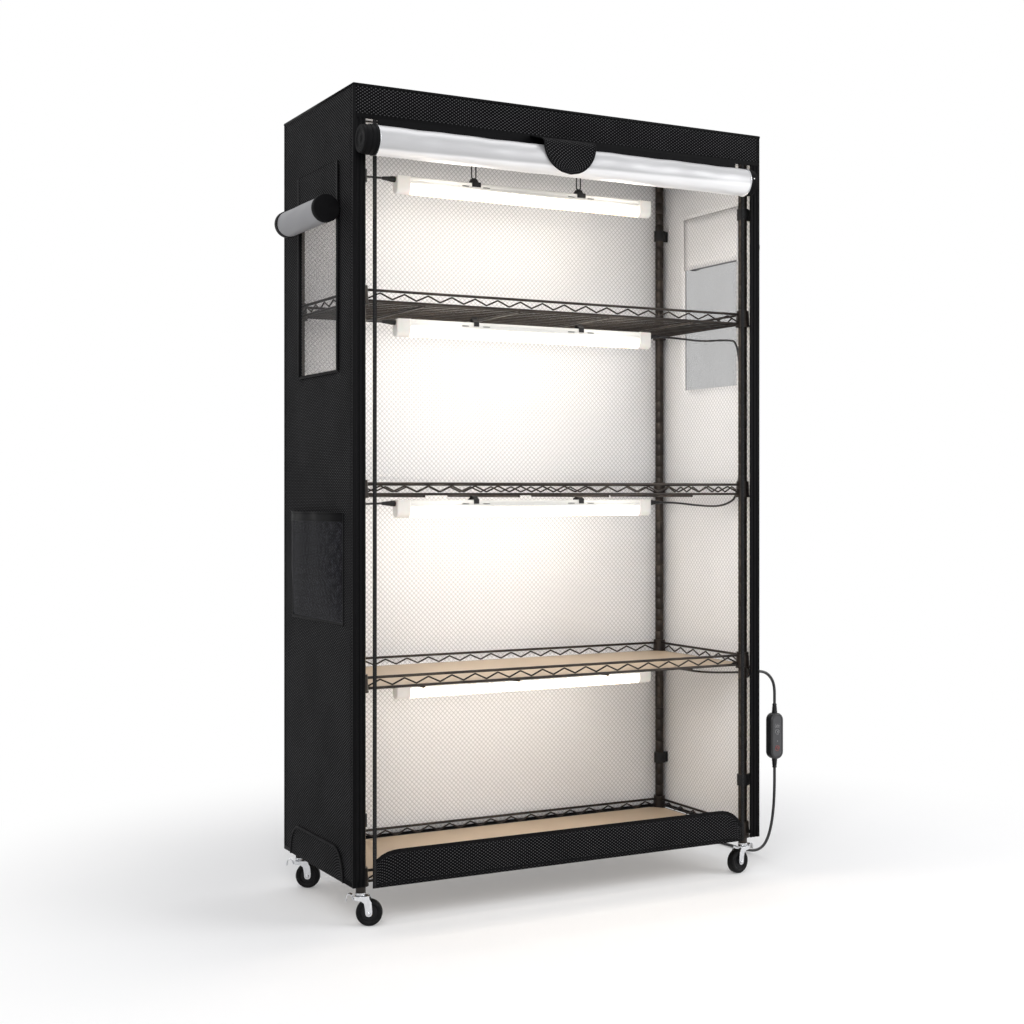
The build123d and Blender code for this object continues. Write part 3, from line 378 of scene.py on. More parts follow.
for name, (x, y, heading) in castors.items():
    turn = Matrix.Translation((x, y, 0)) @ Matrix.Rotation(math.radians(heading), 4, "Z")
    axle = turn.to_3x3() @ Vector((0, 1, 0))
    hub = turn @ Vector((trail, 0, wheel_radius))
    fork = Shape()
    for side in (-1, 1):
        fork.plate(cheek, lambda a, b: turn @ Vector((a, side * 0.0100, b)), axle * side * 0.0020)
        fork.turned([(0.0010, 0.0028), (0.0026, 0.0026), (0.0034, 0.0016), (0.0036, 0.0)],
                    hub + axle * side * 0.0120, axle * side, 20)
    fork.plate(crown, lambda a, b: turn @ Vector((a, b, crown_level)), (0, 0, 0.0026))
    fork.turned([(0.0075, 0.0), (0.0095, 0.0002), (0.0095, 0.0016), (0.0088, 0.0021)],
                (x, y, crown_level + 0.0006), count=28)
    fork.turned([(0.0028, -0.0118), (0.0028, 0.0118)], hub, axle, 20)
    fork.piece("fork_" + name, [zinc_plate], "plated_steel", "castor_fork_" + name, "castor_" + name, 0.0005)

    wheel = Shape()
    wheel.turned(wheel_profile, hub, axle, 48, wheel_marks)
    wheel.piece("wheel_" + name + "_moulded", [tyre_rubber, hub_grey], "castor_tyre", "castor_wheel_" + name,
                "wheel_" + name, 0.0)

    lever = Shape()
    lever.swept([turn @ Vector((a, 0, b)) for a, b in lever_line],
                [(-0.0064, -0.0009), (-0.0058, 0.0009), (0.0058, 0.0009), (0.0064, -0.0009)], axle)
    lever.turned([(0.0013, -0.0094), (0.0013, 0.0094)], turn @ Vector((-0.0085, 0, 0.0488)), axle, 16)
    lever.piece("lever_" + name, [zinc_plate], "plated_steel", "castor_brake_" + name, "brake_" + name,
                0.0004)

# ---------------------------------------------------------------------------------------------
# Wire shelves: two rim wires each side with a bent zigzag welded between them, a row of surface
# wires on four cross supports, and a tapered sleeve at each post. All welded, then bronze coated.

shelf_levels = {"bottom_shelf": 0.0813, "lower_shelf": 0.4423, "middle_shelf": 0.8063,
                "upper_shelf": 1.1693, "top_shelf": 1.5323}
rack_middle = 0.0302


def new_pattern(name, **inputs):
    """A Geometry Nodes tree with named inputs; its threads by name."""
    tree = bpy.data.node_groups.new(name, "GeometryNodeTree")
    tree.interface.new_socket("Geometry", in_out="OUTPUT", socket_type="NodeSocketGeometry")
    inputs = {"Geometry": "Geometry", **inputs, "Finish": "Material"}
    for label, kind in inputs.items():
        tree.interface.new_socket(label, in_out="INPUT", socket_type="NodeSocket" + kind)
    entry = tree.nodes.new("NodeGroupInput")
    return {label: Thread(tree, entry.outputs[label]) for label in inputs}


def end_pattern(threads, shapes, lift=(0.0, 0.0, 0.0)):
    """Join a tree's shapes, lift them, make them real, shade them and give them their finish."""
    tree = threads["Finish"].tree
    join = tree.nodes.new("GeometryNodeJoinGeometry")
    for shape in shapes:
        tree.links.new(shape.socket, join.inputs[0])
    made = Thread(tree, join.outputs[0])
    for kind, sockets in (("Transform", {"Translation": lift}), ("RealizeInstances", {}),
                          ("SetShadeSmooth", {}), ("SetMaterial", {"Material": threads["Finish"]})):
        made = made.node("GeometryNode" + kind, {"Geometry": made, **sockets})
    tree.links.new(made.socket, tree.nodes.new("NodeGroupOutput").inputs[0])
    return tree


def grown(name, tree, values, body, points=(), edges=()):
    """Run a tree with its inputs set, on a line of points where it follows one, as a plain mesh."""
    seed = bpy.data.meshes.new(name + "_line")
    seed.from_pydata([tuple(p) for p in points], list(edges), [])
    maker = added(name + "_maker", seed)
    steps = maker.modifiers.new("steps", "NODES")
    steps.node_group = tree
    for item in tree.interface.items_tree:
        if item.in_out == "INPUT" and item.name in values:
            steps[item.identifier] = values[item.name]
    maker.update_tag()
    solid = bpy.data.meshes.new_from_object(maker.evaluated_get(bpy.context.evaluated_depsgraph_get()))
    bpy.data.objects.remove(maker)
    made = added(name, solid)
    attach(made, body)
    return made


wires = new_pattern("wire_shelf", **dict.fromkeys((
    "Level", "Middle", "Length", "Depth", "Post X", "Post Y", "Truss height", "Rim wire", "Zigzag wire",
    "Surface wire", "Surface pitch", "Support wire", "Support pitch"), "Float"), **dict.fromkeys((
        "Surface wires", "Zigzags long", "Zigzags short"), "Int"))
out_x, out_y, truss, pitch = wires["Post X"], wires["Post Y"], wires["Truss height"], wires["Support pitch"]


def at(x=0.0, y=0.0, z=0.0):
    return out_x.node("ShaderNodeCombineXYZ", {"X": x, "Y": y, "Z": z})


def round_wire(line, thickness):
    """A curve given the thickness of a round wire."""
    ring = line.node("GeometryNodeCurvePrimitiveCircle", {"Resolution": 10, "Radius": thickness / 2})
    return line.node("GeometryNodeCurveToMesh", {"Curve": line, "Profile Curve": ring, "Fill Caps": True})


def straight_wire(first, last, thickness):
    return round_wire(out_x.node("GeometryNodeCurvePrimitiveLine", {"Start": first, "End": last}), thickness)


def line_of(count, first, last):
    return first.node("GeometryNodeMeshLine", {"Count": count, "Start Location": first, "Offset": last},
                      mode="END_POINTS")


def set_on(points, shape):
    return shape.node("GeometryNodeInstanceOnPoints", {"Points": points, "Instance": shape})


def zigzag_wire(length, count, low, high, thickness):
    """A wire bent up and down between two rims, along X."""
    row = line_of(count, at(length * -0.5, 0.0, low), at(length * 0.5, 0.0, low))
    odd = length.node("GeometryNodeInputIndex").maths("MODULO", 2.0).maths("GREATER_THAN", 0.5)
    bent = length.node("GeometryNodeSetPosition",
                       {"Geometry": row, "Selection": odd, "Offset": at(0.0, 0.0, high - low)})
    soft = length.node("GeometryNodeFilletCurve", {
        "Curve": length.node("GeometryNodeMeshToCurve", {"Mesh": bent}), "Count": 3, "Radius": 0.0035,
        "Limit Radius": True}, mode="POLY")
    return round_wire(soft, thickness)


half_x, half_y = wires["Length"] / 2, wires["Depth"] / 2
surface_wire, zigzag = wires["Surface wire"], wires["Zigzag wire"]
long_rim = straight_wire(at(half_x * -1), at(half_x), wires["Rim wire"])
short_rim = straight_wire(at(0.0, half_y * -1), at(0.0, half_y), wires["Rim wire"])
surface = straight_wire(at(out_x * -1), at(out_x), surface_wire)
support = straight_wire(at(0.0, out_y * -1), at(0.0, out_y), wires["Support wire"])
fall = (surface_wire + wires["Support wire"]) / -2
spread = (wires["Surface wires"] - 1) * wires["Surface pitch"] / 2
zig_low = wires["Rim wire"] / 2 + zigzag / 2
long_zig = zigzag_wire(wires["Length"], wires["Zigzags long"], zig_low, truss - zig_low, zigzag)
short_zig = zigzag_wire(wires["Depth"], wires["Zigzags short"], zig_low, truss - zig_low, zigzag)
short_zig = short_zig.node("GeometryNodeTransform", {
    "Geometry": short_zig, "Rotation": (0.0, 0.0, math.pi / 2)})
parts = [set_on(line_of(2, at(0.0, out_y * side), at(0.0, out_y * side, truss)), long_rim)
         for side in (-1, 1)]
parts += [set_on(line_of(2, at(out_x * side), at(out_x * side, 0.0, truss)), short_rim)
          for side in (-1, 1)]
parts += [set_on(line_of(wires["Surface wires"], at(0.0, spread * -1), at(0.0, spread)), surface),
          set_on(line_of(4, at(pitch * -1.5, 0.0, fall), at(pitch * 1.5, 0.0, fall)), support),
          set_on(line_of(2, at(0.0, out_y * -1), at(0.0, out_y)), long_zig),
          set_on(line_of(2, at(out_x * -1), at(out_x)), short_zig)]
corners = out_x.node("GeometryNodeMeshGrid", {"Size X": out_x * 2, "Size Y": out_y * 2, "Vertices X": 2,
                                              "Vertices Y": 2})
corners = corners.node("GeometryNodeTransform", {"Geometry": corners, "Translation": (0.0, 0.0, -0.007)})
for upper, lower, depth in ((0.0130, 0.0145, 0.034), (0.0150, 0.0152, 0.004)):
    sleeve = out_x.node("GeometryNodeMeshCone", {
        "Vertices": 28, "Side Segments": 1, "Fill Segments": 1, "Radius Top": upper, "Radius Bottom": lower,
        "Depth": depth})
    parts.append(set_on(corners, sleeve))
shelf_tree = end_pattern(wires, parts, at(0.0, wires["Middle"], wires["Level"]))
for name, level in shelf_levels.items():
    piece = grown(name + "_wires", shelf_tree, {
        "Level": level, "Middle": rack_middle, "Length": 0.851, "Depth": 0.291, "Post X": post_x,
        "Post Y": 0.160, "Truss height": 0.020, "Rim wire": 0.0054, "Zigzag wire": 0.0034,
        "Surface wire": 0.0034, "Surface pitch": 0.0266, "Surface wires": 11, "Support wire": 0.0050,
        "Support pitch": 0.206, "Zigzags long": 35, "Zigzags short": 13, "Finish": bronze_coat},
        "cabinet")
    crisp(piece)
    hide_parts(name)

# ---------------------------------------------------------------------------------------------
# Liners: beige plastic sheets with cut corners that lie on the two lowest shelves and close the
# gaps between their wires.

liner_beige, start = new_finish("liner_beige", 0.4)
place = on_piece(start)
place.noise(14.0, 4.0).dress(((0.40, 0.31, 0.22), (0.52, 0.42, 0.31)), (0.2, 0.35))
place.noise(500.0).dress(relief=(0.0002, 0.4))
coat(liner_beige, "shelf_liners")

# ---------------------------------------------------------------------------------------------
# Cover: panels of black coated oxford cloth, with a quilted silver lining on their inner side,
# sewn into a box that slips over the rack. Back, roof, header and borders are one layer each.

cover_x, cover_y, cover_z = (-0.465, 0.465), (-0.1548, 0.2152), (0.0773, 1.5673)
(cover_left, cover_right), (cover_front, cover_back), (hem_level, roof_level) = cover_x, cover_y, cover_z
header_level = 1.5043
window_y, window_z = (-0.0768, 0.1172), (1.0423, 1.4253)
cloth = 0.0016
inner_x, inner_roof = cover_right - cloth, roof_level - cloth
jet = (0.0022, 0.0022, 0.0025)
up, forward = (0, 0, 1), (0, -1, 0)

oxford, start = new_finish("oxford_cloth", 0.02)
along, across = on_cloth(start)
dash = (along.wave(0.0088) * across.wave(0.0060)).between(0.30, 0.62)
strand = across.wave(0.00075) * 0.5 + 0.5
patch = on_piece(start).noise(9.0, 3.0).between(0.3, 0.7)
# The lighter dashes mark the weave's floats: the pattern is the weave's own, their lightness is painted
# sheen.
weave_sheen = dash * (strand * 0.30 + 0.70) * (patch * 0.30 + 0.80)
weave_sheen.dress((jet, (0.082, 0.082, 0.086)), (-0.2, 0.62))
(dash * 0.8 + strand * 0.12).dress(relief=(0.0007, 0.8))

quilt, start = new_finish("silver_quilt")
along, across = on_cloth(start)
rows, columns = (along + across).wave(0.021), (along - across).wave(0.021)
puff = rows.maths("ABSOLUTE").maths("MINIMUM", columns.maths("ABSOLUTE"))
crinkle = on_piece(start).noise(240.0, 3.0)
# The grey along the quilting lines is painted shade in their sunken seams.
((1 - puff.between(0.0, 0.42)) * 0.9 + crinkle * 0.12).dress(((0.88, 0.88, 0.89), (0.42, 0.42, 0.435)))
crinkle.dress(rough=(0.25, 0.22))
(puff.between(0.0, 0.9) + crinkle * 0.3).dress(relief=(0.0008, 0.7))

binding, start = new_finish("bound_edge", 0.05)
along, across = on_cloth(start)
rib, dusty = across.wave(0.0011) * 0.5 + 0.5, on_piece(start).noise(40.0, 3.0)
(rib * 0.35 + dusty * 0.4).dress((jet, (0.0095, 0.0095, 0.0105)))
dusty.dress(rough=(0.2, 0.42))
(rib * 0.6 + along.wave(0.0016) * 0.2).dress(relief=(0.0002, 0.6))


def steps(low, high, size, *edges):
    """Even grid lines from low to high, with a line at each given edge."""
    count = max(1, math.ceil((high - low) / size))
    even = [low + (high - low) * i / count for i in range(count + 1)]
    return sorted([x for x in even if all(abs(x - e) > size * 0.25 for e in edges)] + list(edges))


def sheet_of(us, vs, place, thickness=0.0, marks=(0, 0), hole=None, shape=None):
    """A cloth panel over grid lines: its outer face, its inner face and its cut edges."""
    shape = shape or Shape()
    first, rows, size = len(shape.points), len(vs), len(us) * len(vs)
    for depth in (0.0, thickness) if thickness else (0.0,):
        shape.points += [Vector(place(u, v, depth)) for u in us for v in vs]
        shape.uvs += [(u, v) for u in us for v in vs]
    kept = set()
    for i in range(len(us) - 1):
        for j in range(rows - 1):
            u, v = (us[i] + us[i + 1]) / 2, (vs[j] + vs[j + 1]) / 2
            if not (hole and hole[0] < u < hole[1] and hole[2] < v < hole[3]):
                kept.add((i, j))
    for i, j in sorted(kept):
        a, b, c, d = [first + p * rows + q for p, q in ((i, j), (i + 1, j), (i + 1, j + 1), (i, j + 1))]
        shape.face((a, b, c, d), marks[0])
        if not thickness:
            continue
        shape.face((a + size, d + size, c + size, b + size), marks[1])
        for near, p, q in (((i, j - 1), a, b), ((i + 1, j), b, c), ((i, j + 1), c, d), ((i - 1, j), d, a)):
            if near not in kept:
                shape.face((q, p, p + size, q + size), marks[0])
    return shape


def edge_fade(a, low, high, reach=0.04):
    return min(1.0, max(0.0, min(a - low, high - a) / reach))


def billow(u, v, us, vs, height, reach=0.04):
    """How far taut cloth stands off its frame: small and uneven, and nothing at its sewn edges."""
    wave = math.sin(u * 9.1 + v * 3.3) + 0.6 * math.sin(u * 17.0 - v * 7.7 + 1.3)
    return height * wave * edge_fade(u, *us) * edge_fade(v, *vs, reach)


def back_place(u, v, depth):
    return u, cover_back - depth + billow(u, v, cover_x, cover_z, 0.0012), v


def roof_place(u, v, depth):
    return u, v, roof_level - depth + billow(u, v, cover_x, cover_y, 0.0008)


def front_place(u, v, depth):
    return u, cover_front + depth - billow(u, v, cover_x, (header_level, roof_level), 0.0009, 0.02), v


for side, name in ((-1, "cover_left"), (1, "cover_right")):
    wall = sheet_of(
        steps(*cover_y, 0.02, *window_y), steps(*cover_z, 0.025, *window_z),
        lambda u, v, depth: (side * (cover_right - depth + billow(u, v, cover_y, cover_z, 0.0005)), u, v),
        cloth, (0, 1), window_y + window_z).sewn(name + "_wall", [oxford, quilt], "cover_fabric", name)
for name, node, us, vs, place, flat, held, rests_on in (
        ("cover_back_wall", "cover_back", steps(-inner_x, inner_x, 0.03), steps(hem_level, inner_roof, 0.03),
         back_place, (0.927, 1.488), "stretched", ["posts"]),
        ("cover_roof", "cover_top", steps(*cover_x, 0.03), steps(*cover_y, 0.03), roof_place,
         (0.930, 0.370), "laid", ["top_shelf", "post_caps"]),
        ("header_band", "front_header", steps(-inner_x, inner_x, 0.02), steps(header_level, inner_roof, 0.01),
         front_place, (0.927, 0.0615), "stretched", ["cover_top"])):
    panel = sheet_of(us, vs, place, cloth, (0, 1)).sewn(name, [oxford, quilt], "cover_fabric", node)
borders, welts = Shape(), Shape()
for side in (-1, 1):
    sheet_of([side * x for x in (0.4410, 0.4450, 0.4490, 0.4530, 0.4570, 0.4610, inner_x)],
             steps(hem_level, header_level, 0.03), front_place, cloth, shape=borders)
    for x in (0.4432, 0.4515, 0.4600):
        welts.swept([(side * x, cover_front - 0.0004, z) for z in (hem_level, header_level)],
                    arc(0.0013, 10, high=0.0017), forward)
borders = borders.sewn("door_borders", [binding], "cover_fabric", "front_borders")
welts = welts.sewn("border_welts", [binding], "binding")

# ---------------------------------------------------------------------------------------------
# Binding: smooth black tape folded over every seam of the cover and lockstitched, round the
# roof, down the four corners, along the header's lower edge, round the hem and the windows.


def corner_arcs(half_a, half_b, radius, steps_each):
    """A rectangle with round corners, as pairs about its middle."""
    signs = ((1, 1), (-1, 1), (-1, -1), (1, -1))
    return [(a * (half_a - radius) + c, b * (half_b - radius) + s) for k, (a, b) in enumerate(signs)
            for c, s in arc(radius, steps_each + 1, 90 * k, 90 * k + 90)]


def rounded(width, height, soft=0.35):
    """The outline of a folded tape, as (up, across) offsets."""
    return corner_arcs(height / 2, width / 2, min(width, height) * soft, 3)


def window_ring(x, front, rear, ends):
    """The corners of a line round a side window, by its margins."""
    a, b, c, d = window_y[0] - front, window_y[1] + rear, window_z[0] - ends, window_z[1] + ends
    return [(x, a, c), (x, b, c), (x, b, d), (x, a, d)]


tape = Shape()
inset = 0.0022
square_tape, flat_tape = rounded(0.0066, 0.0066), rounded(0.0085, 0.0030)
x1, y0, y1 = cover_right - inset, cover_front + inset, cover_back - inset
top_seam, hem_seam = roof_level - inset, hem_level + 0.004
ring = [(-x1, y0), (x1, y0), (x1, y1), (-x1, y1)]
tape.swept([(x, y, top_seam) for x, y in ring], square_tape, up, joined=True)
for x, y in ring:
    tape.swept([(x, y, hem_level), (x, y, top_seam)], square_tape, (1, 0, 0))
tape.swept([(x, cover_front + 0.0006, header_level + 0.0035) for x in (-0.462, 0.462)], flat_tape, forward)
for side in (-1, 1):
    tape.swept([(side * (cover_right - 0.0006), y, hem_seam) for y in (y0, y1)], flat_tape, (side, 0, 0))
    tape.swept(window_ring(side * (cover_right + 0.0002), 0.0028, 0.0060, 0.0028), rounded(0.0056, 0.0026),
               (side, 0, 0), joined=True)
tape.swept([(x, cover_back - 0.0006, hem_seam) for x in (-x1, x1)], flat_tape, (0, 1, 0))
tape.sewn("cover_binding", [binding], "binding")

stitch_thread = grained("stitch_thread", 900.0, ((0.010, 0.010, 0.011), (0.030, 0.030, 0.032)), Roughness=0.6)

beads = new_pattern("beads_on_a_line", Pitch="Float", Size="Vector")
line = beads["Geometry"].node("GeometryNodeMeshToCurve", {"Mesh": beads["Geometry"]})
spots = line.node("GeometryNodeCurveToPoints", {"Curve": line, "Length": beads["Pitch"]}, mode="LENGTH")
grain = line.node("GeometryNodeMeshUVSphere", {"Segments": 6, "Rings": 4, "Radius": 0.5})
grain = grain.node("GeometryNodeTransform", {"Geometry": grain, "Scale": beads["Size"]})
beads_tree = end_pattern(beads, [spots.node("GeometryNodeInstanceOnPoints", {
    "Points": spots, "Instance": grain, "Rotation": spots.out("Rotation")})])


def beaded(name, runs, pitch=0.0042, size=(0.0005, 0.0005, 0.0026), finish=stitch_thread):
    """Small grains at a pitch along some lines: stitches, or zip teeth."""
    points, edges = [], []
    for run in runs:
        edges += [(len(points) + i, len(points) + i + 1) for i in range(len(run) - 1)]
        points += run
    grown(name, beads_tree, {"Pitch": pitch, "Size": size, "Finish": finish}, "cabinet", points, edges)


seam_inset = 0.0075
seams = [[(x, cover_front - 0.0013, z) for x in (-0.455, 0.455)]
         for z in (roof_level - seam_inset, header_level + 0.0095)]
for side in (-1, 1):
    x = side * (cover_right + 0.0013)
    front, rear = cover_front + seam_inset, cover_back - seam_inset
    seams.append([(x, y, z) for y, z in ((front, hem_level + 0.01), (front, roof_level - seam_inset),
                                         (rear, roof_level - seam_inset), (rear, hem_level + 0.01))])
    ring = window_ring(x, 0.0055, 0.0055, 0.0055)
    seams.append(ring + ring[:1])
beaded("cover_stitches", seams)

# ---------------------------------------------------------------------------------------------
# Door edges: a zip tape with moulded teeth down each side of the opening, and the threshold, a
# strip of the same cloth across the foot of the door with a bound top and a seam near its hem.

zip_cloth, start = new_finish("zip_tape_cloth", 0.15)
along, across = on_cloth(start)
twill = (along + across * 2).wave(0.0012) * 0.5 + 0.5
twill.dress(((0.0035, 0.0035, 0.004), (0.013, 0.013, 0.014)), (0.1, 0.6), (0.0002, 0.6))

zip_x, zip_foot = 0.422, 0.0723
zips = Shape()
for side in (-1, 1):
    zips.swept([(side * zip_x, cover_front + 0.0005, z)
                for z in [zip_foot + 0.0255 * i for i in range(56)] + [header_level]],
               rounded(0.0080, 0.0010), forward)
zips.sewn("zip_tapes", [zip_cloth], "zip_tape", "zipper_tapes")
beaded("zip_teeth", [[(side * zip_x + shift, cover_front - 0.0003, z) for z in (0.0745, header_level)]
                     for side in (-1, 1) for shift in (-0.0008, 0.0008)],
       0.0026, (0.0022, 0.0013, 0.0015), moulded_black)

threshold_x, threshold_height, dip_bend = 0.418, 0.065, 3.37


def threshold_place(u, v, depth):
    """The strip's upper edge dips round to the zip at each end, and its face swells a little."""
    left = max(0.0, min(1.0, (u + threshold_x) / 0.062))
    right = max(0.0, min(1.0, (threshold_x - u) / 0.071))
    top = zip_foot + threshold_height - 0.016 * (1 - left) ** dip_bend - 0.034 * (1 - right) ** dip_bend
    swell = 0.0028 * math.sin(math.pi * v) * (1 + 0.4 * math.sin(u * 21))
    swell *= edge_fade(u, -threshold_x, threshold_x, 0.05)
    return u, cover_front + depth - swell, zip_foot + (top - zip_foot) * v


us = steps(-threshold_x, threshold_x, 0.012)
threshold = sheet_of(us, [i / 8 for i in range(9)], threshold_place, cloth)
threshold.uvs = [(u, v * threshold_height) for u, v in threshold.uvs]
threshold = threshold.sewn("threshold_strip", [oxford], "cover_fabric", "front_threshold")
bound = Shape()
bound.swept([threshold_place(u, 1.0, 0.0008) for u in us], rounded(0.0075, 0.0034), forward)
bound.swept([threshold_place(u, 0.10, -0.0002) for u in us], rounded(0.0030, 0.0018), forward)
bound = bound.sewn("threshold_binding", [binding], "binding")
beaded("threshold_stitches", [[threshold_place(u, share, -0.0004) for u in us] for share in (0.91, 0.17)])

# ---------------------------------------------------------------------------------------------
# Side windows: fine black net sewn into each side, behind a cloth flap that is rolled up with its
# grey film side out. The roll hangs from the flap's own width and is held by the zips' ends.

net_yarn, start = new_finish("net_yarn", 0.3, Roughness=0.6)
along, across = on_cloth(start)
yarn = along.wave(0.0019).maths("MAXIMUM", across.wave(0.0019))
yarn.between(0.2, 1.0).dress(((0.008, 0.008, 0.009), (0.022, 0.022, 0.024)))
yarn.maths("GREATER_THAN", 0.55).into("Alpha")
yarn.dress(relief=(0.0002, 0.5))
grey_film, start = new_finish("grey_flap_film")
place = on_piece(start)
soft = place.node("ShaderNodeMapping", {"Vector": place, "Scale": (30.0, 5.0, 30.0)}).noise(1.0, 3.0)
(soft * 0.8).dress(((0.22, 0.22, 0.23), (0.32, 0.32, 0.33)))
soft.dress(None, (0.2, 0.42), (0.002, 0.5))

flap_front, flap_rear, flap_top = -0.0888, 0.1292, 1.4373
roll_x, roll_level, roll_radius, film_pitch, turns = 0.4913, 1.3443, 0.0256, 0.0016, 3
flap_x, window_zip_x, hung_rows = 0.4678, 0.4676, 8
flap_line = [(flap_x, flap_top - 0.0116 * i) for i in range(hung_rows)]
for i in range(1, 32 * turns):
    turn, radius = 2 * math.pi * i / 32, roll_radius - film_pitch * i / 32
    flap_line.append((roll_x - radius * math.cos(turn), roll_level - radius * math.sin(turn)))


def lengths_along(line):
    """How far each point of a line is from its start."""
    lengths = [0.0]
    for a, b in zip(line, line[1:]):
        lengths.append(lengths[-1] + math.dist(a, b))
    return lengths


def flap_place(u, v, depth):
    """u along the roll, v the step down the hanging flap and round the roll; side is the wall's."""
    x, z = flap_line[v]
    return side * (x + 0.0005 * math.sin(u * 60 + v * 0.7) * min(1, max(0, (v - hung_rows) / 8))), u, z


nets, flap_rolls, roll_ends, lining, zip_lines = [Shape() for _ in range(5)]
for side in (-1, 1):
    sheet_of(steps(*window_y, 0.02), steps(*window_z, 0.02), lambda u, v, depth: (side * (
        cover_right - 0.0008 + 0.0004 * edge_fade(u, *window_y) * edge_fade(v, *window_z) * math.sin(
            u * 13 + v * 8)), u, v), shape=nets)
    sheet_of(steps(flap_front + 0.004, flap_rear - 0.004, 0.014), range(len(flap_line)), flap_place,
             shape=flap_rolls)
    for y, out, solid in ((flap_front, -1, True), (flap_rear, 1, side > 0)):
        outer = [(0.0001, -0.0130), (0.0262, -0.0130), (0.0266, -0.0125), (0.0266, -0.0015),
                 (0.0256, 0.0), (0.0235, 0.0002)]
        middle = [(0.0228, -0.0030), (0.0100, -0.0032), (0.0001, -0.0030)]
        if solid:
            middle = [(0.0120, 0.0), (0.0001, 0.0001)]
        roll_ends.turned(outer + middle, (side * roll_x, y - out * 0.0002, roll_level), (0, out, 0), 40)
    sheet_of(steps(window_y[0] - 0.006, window_y[1] + 0.006, 0.02),
             steps(1.3320 if side < 0 else 1.3150, window_z[1] + 0.006, 0.02),
             lambda u, v, depth: (side * (cover_right - 0.0026 + depth), u, v), 0.0012, shape=lining)
    for y in (window_y[0] - 0.0032, window_y[1] + 0.0080):
        zip_lines.swept([(side * window_zip_x, y, z) for z in (window_z[0] - 0.002, window_z[1] + 0.012)],
                        rounded(0.0060, 0.0030), (side, 0, 0))
nets = nets.sewn("window_net_sheets", [net_yarn], "net", "window_nets", closed=False)
flap_lengths, rows = lengths_along(flap_line), len(flap_line) - 1
flap_rolls.uvs = [(u, flap_top - flap_lengths[v]) for u, v in flap_rolls.uvs]
flap_rolls.marks = [1 if i % rows < hung_rows - 1 else 0 for i in range(len(flap_rolls.faces))]
flap_rolls = flap_rolls.sewn("window_flap_rolls", [grey_film, oxford], "flap_film", "window_flaps",
                             closed=False)
roll_ends = roll_ends.sewn("window_roll_ends", [binding], "binding", edge=0.0)
lining = lining.sewn("window_flap_lining", [quilt], "flap_film")
zip_lines.sewn("window_zip_lines", [zip_cloth], "zip_tape")

# ---------------------------------------------------------------------------------------------
# Vent flaps: an arched flap of cloth low on each side, its edge piped in black. Net pocket: on the
# left side, a net front with a plain hem, bound all round and sewn to the wall.

vent_front, vent_rear, vent_height, vent_bend, vent_proud = -0.1078, 0.1732, 0.060, 0.046, 0.0014
quarter = arc(vent_bend, 9, 0, 90, high=vent_height)
arch = [(vent_front + vent_bend - c, hem_level + s) for c, s in quarter]
arch += [(vent_rear - vent_bend + c, hem_level + s) for c, s in reversed(quarter)]


def vent_place(u, v, depth):
    """u along the wall, v from the hem to the arch; side is the wall's."""
    short = max(0.0, vent_bend - min(u - vent_front, vent_rear - u)) / vent_bend
    z = hem_level + vent_height * math.sqrt(max(0.0, 1 - short ** 2)) * v
    swell = 0.0016 * math.sin(math.pi * min(1, v * 1.2) * 0.8) * edge_fade(u, vent_front, vent_rear, 0.05)
    return side * (cover_right + vent_proud - depth + swell), u, z


def eased(low, high, count):
    """Grid lines from low to high that lie closer at both ends."""
    return [low + (high - low) * (1 - math.cos(math.pi * i / count)) / 2 for i in range(count + 1)]


vents, piping = Shape(), Shape()
for side in (-1, 1):
    sheet_of(eased(vent_front + 0.0002, vent_rear - 0.0002, 28), [i / 6 for i in range(7)], vent_place,
             0.0012, shape=vents)
    piping.swept([(side * (cover_right + vent_proud), y, z) for y, z in arch],
                 corner_arcs(0.0020, 0.0029, 0.0018, 3), (side, 0, 0))
vents.uvs = [(u, v * vent_height) for u, v in vents.uvs]
vents = vents.sewn("vent_flap_cloth", [oxford], "cover_fabric", "side_vent_flaps")
piping = piping.sewn("vent_flap_piping", [binding], "binding")

pocket_front, pocket_rear, pocket_foot, pocket_top = -0.1078, 0.1622, 0.5613, 0.7713
pocket_net, start = new_finish("pocket_net", 0.1, Roughness=0.6)
along, across = on_cloth(start)
mesh_lines = (along + across).wave(0.0052).maths("MAXIMUM", (along - across).wave(0.0052))
speck = on_piece(start).noise(260.0, 3.0).between(0.45, 0.7)
# The lighter speckles along the net's strands are painted highlights.
shine = mesh_lines.between(0.3, 1.0) * (speck * 0.85 + 0.15)
shine.dress(((0.0045, 0.0045, 0.0055), (0.060, 0.060, 0.072)))
mesh_lines.maths("GREATER_THAN", 0.30).into("Alpha")
mesh_lines.dress(relief=(0.0004, 0.6))


def pocket_place(u, v, depth):
    """The pocket's front: it stands off the wall and curves back to it at both sides and the foot."""
    out = abs((u - pocket_front) / (pocket_rear - pocket_front) * 2 - 1)
    rise = (v - pocket_foot) / (pocket_top - pocket_foot)
    bow = (1 - out ** 5) * min(1.0, 0.25 + 1.6 * rise) if rise > 0 else 0.0
    ripple = 0.0010 * math.sin(u * 75) * rise * (1 - out ** 3)
    return cover_left - 0.0006 - 0.0184 * max(0.0, bow) + ripple - (0.0005 - depth), u, v


def pocket_edge(x):
    """Down the pocket's front edge, along its foot and up its rear edge."""
    return [(x, pocket_front, pocket_top), (x, pocket_front, pocket_foot), (x, pocket_rear, pocket_foot),
            (x, pocket_rear, pocket_top)]


